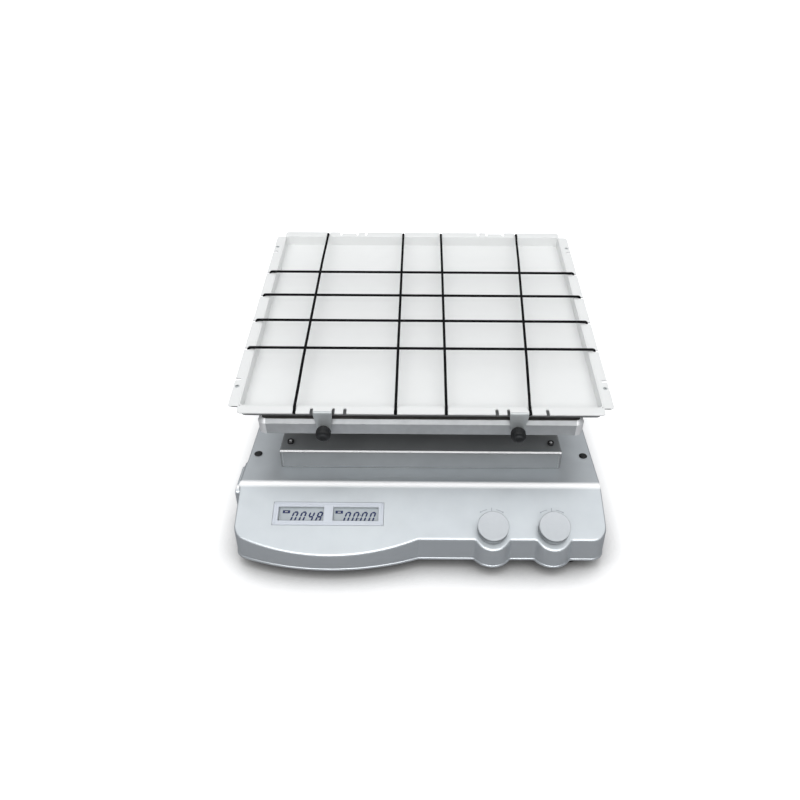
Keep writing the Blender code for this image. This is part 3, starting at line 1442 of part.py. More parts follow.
def tray_slots(wobble):
    """Cutters for the cord slots, the small side holes and the notches round the tabs."""
    cutters = []
    height = (TRAY_SHEET + OVERRUN) * 2
    middle = TRAY_RISE
    for share in CORD_SLOTS_SHARES:
        along = share * CORD_PITCH
        for name, sign in ENDS:
            inner = TRAY_HALF_DEPTH - CORD_SLOT_DEPTH
            outer = TRAY_HALF_DEPTH + OVERRUN
            slot = add_box(
                f"{name}_slot_{along:+.3f}",
                (CORD_SLOT_WIDTH, outer - inner, height),
                (along, sign * (outer + inner) / 2, middle),
            )
            cutters.append(as_cutter(slot, wobble))
        for name, sign in SIDES:
            inner = TRAY_HALF_WIDTH - SIDE_SLOT_DEPTH
            outer = TRAY_HALF_WIDTH + OVERRUN
            slot = add_box(
                f"{name}_slot_{along:+.3f}",
                (outer - inner, CORD_SLOT_WIDTH, height),
                (sign * (outer + inner) / 2, along, middle),
            )
            cutters.append(as_cutter(slot, wobble))
    hole_y = CORD_SLOTS_SHARES[-1] * CORD_PITCH + SIDE_HOLE_OFFSET
    for end, y_sign in ENDS:
        for side, x_sign in SIDES:
            centre = (x_sign * (TRAY_HALF_WIDTH - SIDE_HOLE_EDGE), y_sign * hole_y)
            name = f"{end}_{side}_side_hole"
            low = middle - OVERRUN
            hole = add_cylinder(name, SIDE_HOLE_RADIUS, low, middle + OVERRUN, SMALL_STEPS, centre)
            cutters.append(as_cutter(hole, wobble))
            inner = TRAY_HALF_DEPTH - CORD_SLOT_DEPTH
            outer = TRAY_HALF_DEPTH + OVERRUN
            notch = add_box(
                f"{end}_{side}_tab_notch",
                (TAB_WIDTH + 2 * TAB_RELIEF, outer - inner, height),
                (x_sign * TAB_X, y_sign * (outer + inner) / 2, middle),
            )
            cutters.append(as_cutter(notch, wobble))
    return cutters


def tray_tabs(wobble):
    """The four clamp tabs: a strip bent down over the rim, narrowed to a round end."""
    tabs = []
    root = TRAY_HALF_DEPTH - CORD_SLOT_DEPTH - TRAY_SHEET
    foot = -(CLAMP_DROP + TAB_END_WIDTH / 2)
    inner_radius = TAB_BEND_RADIUS - TRAY_SHEET
    strip = round_corners(
        [
            (-root, 0, 0),
            (-TAB_FACE, 0, TAB_BEND_RADIUS),
            (-TAB_FACE, foot, 0),
            (-(TAB_FACE - TRAY_SHEET), foot, 0),
            (-(TAB_FACE - TRAY_SHEET), -TRAY_SHEET, inner_radius),
            (-root, -TRAY_SHEET, 0),
        ]
    )
    half = TAB_WIDTH / 2
    end_half = TAB_END_WIDTH / 2
    end_round = end_half * TAB_END_ROUND_SHARE
    front = round_corners(
        [
            (-half, OVERRUN, 0),
            (-half, -TAB_STRAIGHT, 0),
            (-end_half, foot, end_round),
            (end_half, foot, end_round),
            (half, -TAB_STRAIGHT, 0),
            (half, OVERRUN, 0),
        ]
    )
    for end, y_sign in ENDS:
        for side, x_sign in SIDES:
            place = (x_sign * TAB_X, 0, TRAY_RISE)
            turned = (0, 0, 0 if y_sign < 0 else math.pi)
            tab = add_plate(f"{end}_{side}_tab", [strip], -half - GAP, half + GAP)
            turn_mesh(tab, along_x())
            shape = add_plate(f"{end}_{side}_tab_shape", [front], root - OVERRUN, TRAY_HALF_DEPTH)
            turn_mesh(shape, along_y())
            combine(tab, as_cutter(shape, wobble, place, turned), "INTERSECT")
            tabs.append(as_cutter(tab, wobble, place, turned))
    return tabs


def make_clamps(wobble, black):
    """Thumb-screws through the tabs: a knob with a collar on a stud that meets the rim."""
    stud_end = -(TRAY_SHEET + PLATFORM_TAB_CLEARANCE - GAP)
    collar_low = GAP
    knob_low = collar_low + CLAMP_COLLAR_LENGTH
    top = knob_low + CLAMP_KNOB_LENGTH
    edge = CLAMP_KNOB_EDGE
    radius = CLAMP_KNOB_RADIUS
    profile = [
        (0, top),
        (radius - edge, top),
        (radius, top - edge),
        (radius, knob_low),
        (CLAMP_COLLAR_RADIUS, knob_low),
        (CLAMP_COLLAR_RADIUS, collar_low),
        (STUD_RADIUS, collar_low),
        (STUD_RADIUS, stud_end),
        (0, stud_end),
    ]
    for end, y_sign in ENDS:
        for side, x_sign in SIDES:
            clamp = add_turned(f"{end}_{side}_clamp_screw", profile, BUSH_STEPS)
            place = (x_sign * TAB_X, y_sign * TAB_FACE, CLAMP_RISE)
            finish(clamp, black, wobble, place, (math.pi / 2 * -y_sign, 0, 0))


def add_cord(name, route, wobble, material):
    """An elastic cord along a route, with a knot at each end."""
    curve = bpy.data.curves.new(name, "CURVE")
    curve.dimensions = "3D"
    curve.bevel_depth = CORD_RADIUS
    curve.bevel_resolution = 2
    curve.use_fill_caps = True
    spline = curve.splines.new("POLY")
    spline.points.add(len(route) - 1)
    for point, (place, share) in zip(spline.points, route):
        point.co = (*place, 1)
        point.radius = share
    finish(curve_to_mesh(name, curve), material, wobble)


def cord_end(outward, run):
    """Points of a cord's end, from its knot under a slot up to the top of the flange.

    Each is (distance out from the tray's middle, height, thickness share).
    """
    over = CORD_RADIUS + CORD_LIFT
    down = -(TRAY_SHEET + CORD_DROP)
    knot = CORD_KNOT_LENGTH
    inward, upward = CORD_SHOULDER_SHARES
    return [
        (outward, down - knot, CORD_KNOT_END_SHARE),
        (outward, down - knot / 2, CORD_KNOT_SHARE),
        (outward, down, 1),
        (outward, -TRAY_SHEET, 1),
        (outward - over * inward, over * upward, 1),
        (outward - over * CORD_BEND_SHARE, over * CORD_CROWN_SHARE, 1),
        (run, over, 1),
    ]


def make_cords(wobble, black):
    """Four cords lengthwise, laid over four cords across."""
    half_slots = CORD_SLOTS_SHARES[-1]
    relief_x = TAB_X + (TAB_WIDTH + TAB_RELIEF) / 2
    over = CORD_RADIUS + CORD_LIFT
    raised = over + 2 * CORD_RADIUS + GAP
    side_out = TRAY_HALF_WIDTH - SIDE_SLOT_DEPTH + CORD_RADIUS + CORD_LIFT
    end_out = TRAY_HALF_DEPTH - CORD_SLOT_DEPTH + CORD_RADIUS + CORD_LIFT
    for index, share in enumerate(CORD_SLOTS_SHARES[1:-1]):
        y = share * CORD_PITCH
        end = cord_end(side_out, TRAY_INNER_HALF_WIDTH)
        route = [((-out, y, TRAY_RISE + height), thick) for out, height, thick in end]
        route += [((out, y, TRAY_RISE + height), thick) for out, height, thick in reversed(end)]
        add_cord(f"cross_cord_{index + 1}", route, wobble, black)
    crossing = CORD_SLOTS_SHARES[-2] * CORD_PITCH
    lengthwise = (
        ("left_cord", -half_slots * CORD_PITCH, -half_slots * CORD_PITCH),
        ("middle_left_cord", CORD_SLOTS_SHARES[2] * CORD_PITCH, CORD_SLOTS_SHARES[2] * CORD_PITCH),
        ("middle_right_cord", CORD_SLOTS_SHARES[3] * CORD_PITCH, CORD_SLOTS_SHARES[3] * CORD_PITCH),
        ("right_cord", half_slots * CORD_PITCH, relief_x),
    )
    for name, rear_x, front_x in lengthwise:
        end = cord_end(end_out, TRAY_INNER_HALF_DEPTH)
        route = [((front_x, -out, TRAY_RISE + height), thick) for out, height, thick in end]
        for y in (-crossing, crossing):
            mix = (y + end_out) / (2 * end_out)
            x = front_x + (rear_x - front_x) * mix
            route.append(((x, y, TRAY_RISE + raised), 1))
        route += [((rear_x, out, TRAY_RISE + height), thick) for out, height, thick in reversed(end)]
        add_cord(name, route, wobble, black)


def main():
    """Build the shaker."""
    clear_scene()
    make_collection("parts", "Three-dimensional shaker")
    make_collection("cutters", "Cutters")

    silver = make_material("silver paint", (0.60, 0.62, 0.64), 0.42, 0.55)
    grey = make_material("grey paint", (0.45, 0.46, 0.48), 0.45, 0.45)
    white = make_material("white powder coat", (0.88, 0.88, 0.87), 0.38, 0.0)
    brushed = make_material("anodised sheet", (0.70, 0.71, 0.72), 0.34, 0.9)
    steel = make_material("bright steel", (0.72, 0.73, 0.75), 0.22, 1.0)
    cast = make_material("cast aluminium", (0.55, 0.56, 0.57), 0.5, 0.85)
    black = make_material("black plastic", (0.02, 0.02, 0.022), 0.45, 0.0)
    rubber = make_material("black rubber", (0.025, 0.025, 0.025), 0.8, 0.0)
    lcd = make_material("display glass", (0.55, 0.60, 0.54), 0.2, 0.0)
    board = make_material("circuit board", (0.03, 0.16, 0.07), 0.5, 0.0)
    frame_grey = make_material("display frame", (0.66, 0.68, 0.70), 0.4, 0.3)

    frame = make_frame("drive_axis", (0, DRIVE_Y, 0))
    panel = make_frame("panel_plane", (0, -SKIRT_REACH, SKIRT_TOP), (PANEL_SLOPE, 0, 0), frame)
    wobble = make_frame("wobble_centre", (0, 0, WOBBLE_HEIGHT), (TILT, 0, 0), frame)

    make_housing(frame, panel, silver)
    make_bottom(frame, grey, rubber)
    make_plugs(frame, black)
    make_pedestal(frame, grey, steel)
    make_display(panel, frame_grey, lcd, board)
    make_dial("speed", SPEED_KNOB_X, panel, silver, black, steel)
    make_dial("time", TIME_KNOB_X, panel, silver, black, steel)
    make_switch(frame, black)
    make_inlet(frame, black)
    make_power_board(frame, board)
    make_drive(frame, cast, steel)
    make_hub(frame, wobble, steel)
    make_motor(frame, black, steel, cast)
    make_carrier(wobble, cast)
    make_guide(frame, wobble, steel)
    make_platform(wobble, brushed)
    make_tray(wobble, white)
    make_clamps(wobble, black)
    make_cords(wobble, rubber)


main()
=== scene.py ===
"""Dressed model of a three-dimensional laboratory shaker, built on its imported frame.

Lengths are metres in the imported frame: +Z is up, the front is towards -Y, the ground is at zero. Three
local frames are used: the drive axis, the sloped control panel and the leaning wobble axis.
"""

import logging
import math
from dataclasses import dataclass
from enum import Enum
from functools import cache

import bmesh
import bpy
import numpy as np
from mathutils import Matrix, Vector


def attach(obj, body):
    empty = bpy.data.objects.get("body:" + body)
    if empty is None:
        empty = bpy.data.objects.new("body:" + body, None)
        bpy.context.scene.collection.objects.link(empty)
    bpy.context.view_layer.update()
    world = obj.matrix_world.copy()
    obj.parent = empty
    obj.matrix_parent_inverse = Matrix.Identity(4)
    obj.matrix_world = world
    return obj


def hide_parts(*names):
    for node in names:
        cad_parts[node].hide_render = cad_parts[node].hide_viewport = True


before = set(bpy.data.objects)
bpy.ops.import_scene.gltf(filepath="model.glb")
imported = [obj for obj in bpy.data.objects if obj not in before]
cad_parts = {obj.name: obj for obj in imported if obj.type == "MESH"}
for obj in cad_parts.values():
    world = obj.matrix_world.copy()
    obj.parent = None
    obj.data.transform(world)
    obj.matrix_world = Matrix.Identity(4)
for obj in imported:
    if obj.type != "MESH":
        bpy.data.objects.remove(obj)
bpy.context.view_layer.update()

LOG = logging.getLogger("shaker")
PICTURE_SIDE = 800

DRIVE_Y = 0.0343
DECK = 0.067
GROUND_CLEARANCE = 0.012
SKIRT_REACH = 0.2405
SKIRT_TOP = 0.0412
BEND_REACH = 0.1833
SLOPE = math.atan2(DECK - SKIRT_TOP, SKIRT_REACH - BEND_REACH)
WOBBLE_HEIGHT = 0.140
TILT = math.radians(9)
GAP = 0.0003
PASSAGE = 0.032
GUIDE_REACH = 0.080
SWITCH_Y, SWITCH_Z = -0.1713, 0.0385
INLET_X, INLET_Z = -0.120, 0.0385
KNOBS = {"speed": 0.0757, "time": 0.1393}

# The tray, on the leaning axis: the top of its flanges, the half sizes of the flanges and of the walls, the
# pitch and the depths of the cord slots, and the places of the clamp tabs.
TRAY_TOP = 0.050
TRAY_X, TRAY_Y = 0.1970, 0.1797
WALL_X, WALL_Y = 0.1852, 0.1679
SLOT_PITCH = 0.0513
SLOT_X, SLOT_Y = 0.0062, 0.0080
TAB_X, TAB_FACE = 0.0998, 0.1785

AXIS = Matrix.Translation((0, DRIVE_Y, 0))
PANEL = AXIS @ Matrix.Translation((0, -SKIRT_REACH, SKIRT_TOP)) @ Matrix.Rotation(SLOPE, 4, "X")
LEAN = AXIS @ Matrix.Translation((0, 0, WOBBLE_HEIGHT)) @ Matrix.Rotation(TILT, 4, "X")
ALONG_Y = Matrix(((1, 0, 0, 0), (0, 0, -1, 0), (0, 1, 0, 0), (0, 0, 0, 1)))
TO_LEFT = Matrix(((0, 0, -1, 0), (1, 0, 0, 0), (0, 1, 0, 0), (0, 0, 0, 1)))
TO_REAR = Matrix(((-1, 0, 0, 0), (0, 0, 1, 0), (0, 1, 0, 0), (0, 0, 0, 1)))

QUARTERS = (("front_left", -1, -1), ("front_right", 1, -1), ("rear_left", -1, 1), ("rear_right", 1, 1))
CORNERS = tuple((x, y) for x in (-1, 1) for y in (-1, 1))
ROUND = ((-1, -1), (1, -1), (1, 1), (-1, 1))


# ---------------------------------------------------------------- shapes


@dataclass
class Surface:
    """Points and faces of one surface, as arrays."""

    points: np.ndarray
    faces: list

    def moved(self, matrix: Matrix) -> "Surface":
        """The surface after a matrix."""
        turned = np.array(matrix.to_3x3()) @ self.points.T
        return Surface(turned.T + np.array(matrix.translation), self.faces)


def quads(rows: int, columns: int, wrap: bool = True) -> np.ndarray:
    """Faces of a grid whose point (row, column) has the index row * columns + column.

    Args:
        rows: Points down the grid.
        columns: Points across the grid.
        wrap: Whether the last column joins the first.

    Returns:
        One row of four indices a face.
    """
    row, column = np.meshgrid(
        np.arange(rows - 1), np.arange(columns if wrap else columns - 1), indexing="ij"
    )
    after = (column + 1) % columns
    corners = [row * columns + column, row * columns + after]
    corners += [(row + 1) * columns + after, (row + 1) * columns + column]
    return np.stack(corners, axis=-1).reshape(-1, 4)


def joined(grid: np.ndarray, ring: bool = False) -> Surface:
    """Joins the rings of a grid of points, one a row.

    Args:
        grid: Points, rows by columns by three.
        ring: Whether the last row joins the first. Otherwise both are filled in.

    Returns:
        A closed surface.
    """
    rows, columns = grid.shape[:2]
    last = (rows - 1) * columns
    faces = quads(rows, columns).tolist()
    if ring:
        faces += [(last + i, last + (i + 1) % columns, (i + 1) % columns, i) for i in range(columns)]
    else:
        faces += [tuple(range(columns)), tuple(range(rows * columns - 1, last - 1, -1))]
    return Surface(grid.reshape(-1, 3), faces)


def move(x: float, y: float, z: float) -> Matrix:
    """A move by three lengths."""
    return Matrix.Translation((x, y, z))


def sweep(first: float, last: float, count: int) -> np.ndarray:
    """Angles from the first to the last, given in degrees."""
    return np.radians(np.linspace(first, last, count))


def spokes(steps: int) -> np.ndarray:
    """Angles that part a turn evenly."""
    return np.arange(steps) * 2 * math.pi / steps


def hexagon(steps: int) -> np.ndarray:
    """A hexagon's radius over its corners': cos 30 / cos(a within 30 degrees of a flat's middle)."""
    return math.cos(math.pi / 6) / np.cos(spokes(steps) % (math.pi / 3) - math.pi / 6)


def smooth(value: np.ndarray) -> np.ndarray:
    """Goes from 0 to 1 with level ends: 3 t^2 - 2 t^3, held outside 0 to 1."""
    held = np.clip(value, 0, 1)
    return held * held * (3 - 2 * held)


def arc(centre: tuple, radius: float, first: float, last: float, steps: int) -> list:
    """Points centre + radius (cos a, sin a) with the angle a in degrees going from first to last."""
    angles = sweep(first, last, steps + 1)
    points = np.stack([np.cos(angles), np.sin(angles)], axis=1) * radius + np.array(centre)
    return [tuple(point) for point in points]


def dome(radius: float, foot: float, rise: float, steps: int, last: float = math.pi / 2) -> list:
    """Profile (radius sin a, foot + rise cos a) with the angle a going from the top to the last one."""
    points = [(radius * math.sin(a), foot + rise * math.cos(a)) for a in np.linspace(0, last, steps)]
    return [(0, points[0][1]), *points[1:]]


@dataclass
class Outline:
    """A flat line with its outward normals, counter-clockwise when closed."""

    points: np.ndarray
    normals: np.ndarray

    @staticmethod
    def through(points: np.ndarray, closed: bool = True) -> "Outline":
        """Outline through points. A normal is the middle of those of the two sides that meet there.

        Args:
            points: One (x, y) a row.
            closed: Whether the last point joins the first.

        Returns:
            The outline.
        """
        points = np.asarray(points, float)
        ahead = np.roll(points, -1, axis=0) - points
        if not closed:
            ahead[-1] = ahead[-2]
        ahead /= np.maximum(np.linalg.norm(ahead, axis=1, keepdims=True), 1e-9)
        behind = np.roll(ahead, 1, axis=0)
        if not closed:
            behind[0] = ahead[0]
        middle = ahead + behind
        middle /= np.maximum(np.linalg.norm(middle, axis=1, keepdims=True), 1e-9)
        return Outline(points, np.stack([middle[:, 1], -middle[:, 0]], axis=1))

    @staticmethod
    def rounded(corners: list, step: float = 9, stride: float = 0, closed: bool = True) -> "Outline":
        """Outline with an arc in place of each corner.

        The arc's centre lies on the corner's bisector at radius / sin(half angle).

        Args:
            corners: (x, y, radius) of each corner.
            step: Degrees between points of an arc.
            stride: Longest straight side, or 0 for any length.
            closed: Whether the last corner joins the first. An open line leaves out its two ends.

        Returns:
            The outline.
        """
        spots, count = [], len(corners)
        for index in range(count) if closed else range(1, count - 1):
            x, y, radius = corners[index]
            here = np.array([x, y])
            if radius <= 0:
                spots.append(here[None])
                continue
            back = np.array(corners[index - 1][:2]) - here
            ahead = np.array(corners[(index + 1) % count][:2]) - here
            back, ahead = back / np.linalg.norm(back), ahead / np.linalg.norm(ahead)
            half = math.acos(float(np.clip(back @ ahead, -1, 1))) / 2
            middle = (back + ahead) / np.linalg.norm(back + ahead)
            centre = here + middle * radius / math.sin(half)
            start = here + back * radius / math.tan(half) - centre
            end = here + ahead * radius / math.tan(half) - centre
            first = math.atan2(start[1], start[0])
            turn = (math.atan2(end[1], end[0]) - first + math.pi) % (2 * math.pi) - math.pi
            steps = max(2, math.ceil(abs(math.degrees(turn)) / step))
            angles = first + turn * np.linspace(0, 1, steps + 1)
            spots.append(centre + radius * np.stack([np.cos(angles), np.sin(angles)], axis=1))
        points = np.concatenate(spots)
        if stride:
            ring = np.concatenate([points, points[:1]]) if closed else points
            lengths = np.linalg.norm(np.diff(ring, axis=0), axis=1)
            cuts = [
                ring[i] + (ring[i + 1] - ring[i]) * np.linspace(0, 1, parts, endpoint=False)[:, None]
                for i, parts in enumerate(np.maximum(1, np.ceil(lengths / stride)).astype(int))
            ]
            points = np.concatenate(cuts if closed else cuts + [ring[-1:]])
        return Outline.through(points, closed)

    @staticmethod
    def rectangle(
        half_width: float, half_depth: float, radius: float, centre: tuple = (0, 0), step: float = 9
    ) -> "Outline":
        """A rounded rectangle about a centre."""
        x, y = centre
        return Outline.rounded([(x + i * half_width, y + j * half_depth, radius) for i, j in ROUND], step)

    @staticmethod
    def circle(radius: float, steps: int, centre: tuple = (0, 0)) -> "Outline":
        """A circle about a centre."""
        angles = spokes(steps)
        normals = np.stack([np.cos(angles), np.sin(angles)], axis=1)
        return Outline(np.array(centre) + radius * normals, normals)

    def carry(self, profile: list, ring: bool = False) -> Surface:
        """Carries a profile round the outline.

        Point (k, s) is outline(s) - inset(k) * normal(s), at height(k). The first and last rows are filled
        in, or joined to each other.

        Args:
            profile: (inset, height) pairs.
            ring: Whether the profile closes on itself.

        Returns:
            A closed surface.
        """
        inset, height = np.array(profile, float).T
        flat = self.points[None] - inset[:, None, None] * self.normals[None]
        level = np.broadcast_to(height[:, None, None], (*flat.shape[:2], 1))
        return joined(np.concatenate([flat, level], axis=2), ring)

    def prism(self, low: float, high: float) -> Surface:
        """A plain upright solid between two heights."""
        return self.carry([(0, low), (0, high)])


def turned(profile: list, steps: int, ripple: np.ndarray | None = None, ring: bool = False) -> Surface:
    """Turns a profile about Z: point (k, s) is radius(k) * ripple(k, s) along the angle s, at height(k).

    Args:
        profile: (radius, height) pairs. A radius of zero closes an end.
        steps: Points round.
        ripple: Optional factors for the radius, one row a profile point.
        ring: Whether the profile closes on itself.

    Returns:
        A closed surface.
    """
    radius, height = np.array(profile, float).T
    angles = spokes(steps)
    reach = radius[:, None] * (np.ones((1, steps)) if ripple is None else ripple)
    level = np.broadcast_to(height[:, None], reach.shape)
    grid = np.stack([reach * np.cos(angles), reach * np.sin(angles), level], axis=2)
    if ring:
        return joined(grid, ring)
    faces = quads(len(profile), steps).tolist()
    for row in (0, len(profile) - 1):
        if radius[row] > 0:
            faces.append(tuple(range(row * steps, (row + 1) * steps)))
    return Surface(grid.reshape(-1, 3), faces)


def block(size: tuple, centre: tuple = (0, 0, 0)) -> Surface:
    """A box about a centre."""
    x, y, z = centre
    outline = Outline.through([(x + i * size[0] / 2, y + j * size[1] / 2) for i, j in ROUND])
    return outline.prism(z - size[2] / 2, z + size[2] / 2)


def tube(path: np.ndarray, radii: np.ndarray, steps: int) -> Surface:
    """Carries a circle along a path: point (k, s) is path(k) + radius(k) (cos a U + sin a V).

    U is square to the path's direction and keeps the bearing of the row before it.

    Args:
        path: One (x, y, z) a row.
        radii: One radius a row.
        steps: Points round.

    Returns:
        A closed surface.
    """
    ahead = np.gradient(path, axis=0)
    ahead /= np.linalg.norm(ahead, axis=1, keepdims=True)
    sides, side = [], np.cross(ahead[0], (0.3, 0.2, 0.9))
    for direction in ahead:
        side = side - direction * (side @ direction)
        side = side / np.linalg.norm(side)
        sides.append(side)
    sides = np.array(sides)
    other = np.cross(ahead, sides)
    turns = spokes(steps)[None, :, None]
    spread = np.cos(turns) * sides[:, None] + np.sin(turns) * other[:, None]
    points = (path[:, None] + radii[:, None, None] * spread).reshape(-1, 3)
    count = len(path) * steps
    ends = [tuple(range(steps - 1, -1, -1)), tuple(range(count - steps, count))]
    return Surface(points, quads(len(path), steps).tolist() + ends)


# ---------------------------------------------------------------- finishes


class Grain(Enum):
    """What the skin of a finish is made of."""

    PEEL = "sprayed paint"
    BRUSHED = "lines from a brushing belt"
    CAST = "sand casting"
    MOULDED = "spark-eroded mould"
    WOVEN = "braided sleeve"


class Tree:
    """Adds nodes to a shader tree and joins them."""

    def __init__(self, tree: bpy.types.NodeTree) -> None:
        """Keeps the tree."""
        self.tree = tree

    def add(self, kind: str, **inputs: object) -> bpy.types.Node:
        """Adds a node.

        Args:
            kind: Blender's name for the node, without ShaderNode.
            **inputs: Values or sockets, by the input's name with _ for a space; a name that starts with
                set_ is a property of the node.

        Returns:
            The node.
        """
        node = self.tree.nodes.new("ShaderNode" + kind)
        for name, value in inputs.items():
            if name.startswith("set_"):
                setattr(node, name[4:], value)
        for name, value in inputs.items():
            if not name.startswith("set_"):
                self.join(value, self.entry(node, name))
        return node

    def entry(self, node: bpy.types.Node, name: str) -> bpy.types.NodeSocket:
        """The enabled input with a name, or with a number after _."""
        if name[1:].isdigit():
            return node.inputs[int(name[1:])]
        wanted = name.replace("_", " ")
        return next(socket for socket in node.inputs if socket.name == wanted and socket.enabled)

    def join(self, value: object, socket: bpy.types.NodeSocket) -> None:
        """Links a socket, or sets a value, at an input."""
        if isinstance(value, bpy.types.NodeSocket):
            self.tree.links.new(value, socket)
        else:
            socket.default_value = value

    def maths(self, operation: str, first: object, second: object = 0.0, clamp: bool = False) -> object:
        """One Math node's result."""
        node = self.add("Math", set_operation=operation, set_use_clamp=clamp, _0=first, _1=second)
        return node.outputs[0]

    def ramp(self, value: object, low: object, high: object, fade: bool = False) -> object:
        """A value mapped from low..high to 0..1, or smoothly to 1..0 for a fade."""
        if not fade:
            return self.add("MapRange", Value=value, From_Min=low, From_Max=high).outputs[0]
        return self.add("MapRange", set_interpolation_type="SMOOTHSTEP", Value=value, From_Min=low,
                        From_Max=high, To_Min=1.0, To_Max=0.0).outputs[0]

    def mix(self, factor: object, first: object, second: object) -> object:
        """One colour mix's result."""
        node = self.add("Mix", set_data_type="RGBA", _0=factor, _6=first, _7=second)
        return node.outputs[2]


def new_material(name: str) -> tuple:
    """A node material, the helper for its tree, and its shader's inputs."""
    made = bpy.data.materials.new(name)
    made.use_nodes = True
    return made, Tree(made.node_tree), made.node_tree.nodes["Principled BSDF"].inputs


class Effects:
    """Node groups that several finishes share. Each is made once."""

    @staticmethod
    def group(name: str, entries: dict, result: str) -> tuple:
        """Starts a node group with named sockets.

        Args:
            name: The group's name.
            entries: Input names with their socket type and first value.
            result: Name of the one output.

        Returns:
            The tree helper, the input node and the output's entry.
        """
        tree = bpy.data.node_groups.new(name, "ShaderNodeTree")
        for label, (kind, value) in entries.items():
            socket = tree.interface.new_socket(label, in_out="INPUT", socket_type="NodeSocket" + kind)
            if value is not None:
                socket.default_value = value
        tree.interface.new_socket(result, in_out="OUTPUT", socket_type="NodeSocketFloat")
        start = tree.nodes.new("NodeGroupInput")
        return Tree(tree), start, tree.nodes.new("NodeGroupOutput").inputs[0]

    @staticmethod
    @cache
    def clouding() -> bpy.types.NodeTree:
        """Slow and fast changes of tone added up: 0.65 wide noise + 0.35 fine noise."""
        entries = {"Vector": ("Vector", None), "Scale": ("Float", 12.0)}
        tree, start, end = Effects.group("clouding", entries, "Tone")
        wide = tree.add("TexNoise", Vector=start.outputs[0], Scale=start.outputs[1], Detail=3.0)
        fast = tree.maths("MULTIPLY", start.outputs[1], 9.0)
        fine = tree.add("TexNoise", Vector=start.outputs[0], Scale=fast, Detail=2.0)
        slow = tree.maths("MULTIPLY", wide.outputs[0], 0.65)
        total = tree.maths("ADD", slow, tree.maths("MULTIPLY", fine.outputs[0], 0.35))
        tree.join(tree.ramp(total, 0.36, 0.64), end)
        return tree.tree

    @staticmethod
    @cache
    def edges() -> bpy.types.NodeTree:
        """Where a surface turns sharply: one minus the cosine between its normal and a rounded one."""
        tree, start, end = Effects.group("rubbed edges", {"Vector": ("Vector", None)}, "Mask")
        soft = tree.add("Bevel", set_samples=4, Radius=0.0007).outputs[0]
        true = tree.add("NewGeometry").outputs["Normal"]
        level = tree.add("VectorMath", set_operation="DOT_PRODUCT", _0=soft, _1=true)
        turned_away = tree.maths("SUBTRACT", 1.0, level.outputs["Value"])
        patchy = tree.add("TexNoise", Vector=start.outputs[0], Scale=160.0, Detail=2.0).outputs[0]
        tree.join(tree.maths("MULTIPLY", tree.maths("MULTIPLY", turned_away, 7.0), patchy, True), end)
        return tree.tree

    @staticmethod
    @cache
    def settled() -> bpy.types.NodeTree:
        """Dust and handling on faces that look up: level part of the normal times noise."""
        tree, start, end = Effects.group("settled dust", {"Vector": ("Vector", None)}, "Mask")
        normal = tree.add("SeparateXYZ", Vector=tree.add("NewGeometry").outputs["Normal"])
        upward = tree.ramp(normal.outputs[2], 0.55, 1.0)
        noise = tree.add("TexNoise", Vector=start.outputs[0], Scale=45.0, Detail=5.0)
        tree.join(tree.maths("MULTIPLY", upward, tree.ramp(noise.outputs[0], 0.45, 0.7)), end)
        return tree.tree

    @staticmethod
    @cache
    def skin(grain: Grain) -> bpy.types.NodeTree:
        """Height of a grain: noise, stretched, pitted or woven.

        Args:
            grain: Which grain.

        Returns:
            A group with a Vector and a Scale input and a Height output.
        """
        entries = {"Vector": ("Vector", None), "Scale": ("Float", 900.0)}
        tree, start, end = Effects.group(grain.name, entries, "Height")
        place, scale = start.outputs[0], start.outputs[1]
        if grain is Grain.BRUSHED:
            spread = tree.add("VectorMath", set_operation="MULTIPLY", _0=place, _1=(0.012, 1.0, 1.0))
            height = tree.add("TexNoise", Vector=spread.outputs[0], Scale=scale, Detail=3.0).outputs[0]
        elif grain is Grain.WOVEN:
            parts = tree.add("SeparateXYZ", Vector=place)
            round_it = tree.maths("MULTIPLY", parts.outputs[0], 6.2831853 * 4)
            along = tree.maths("MULTIPLY", parts.outputs[1], scale)
            one = tree.maths("SINE", tree.maths("ADD", round_it, along))
            two = tree.maths("SINE", tree.maths("SUBTRACT", round_it, along))
            height = tree.maths("MULTIPLY", one, two)
        elif grain is Grain.CAST:
            pits = tree.add("TexVoronoi", Vector=place, Scale=scale)
            sand = tree.add("TexNoise", Vector=place, Scale=scale, Detail=6.0)
            height = tree.maths("ADD", tree.maths("MULTIPLY", pits.outputs[0], 0.5), sand.outputs[0])
        else:
            detail = 2.0 if grain is Grain.PEEL else 6.0
            height = tree.add("TexNoise", Vector=place, Scale=scale, Detail=detail).outputs[0]
        tree.join(height, end)
        return tree.tree


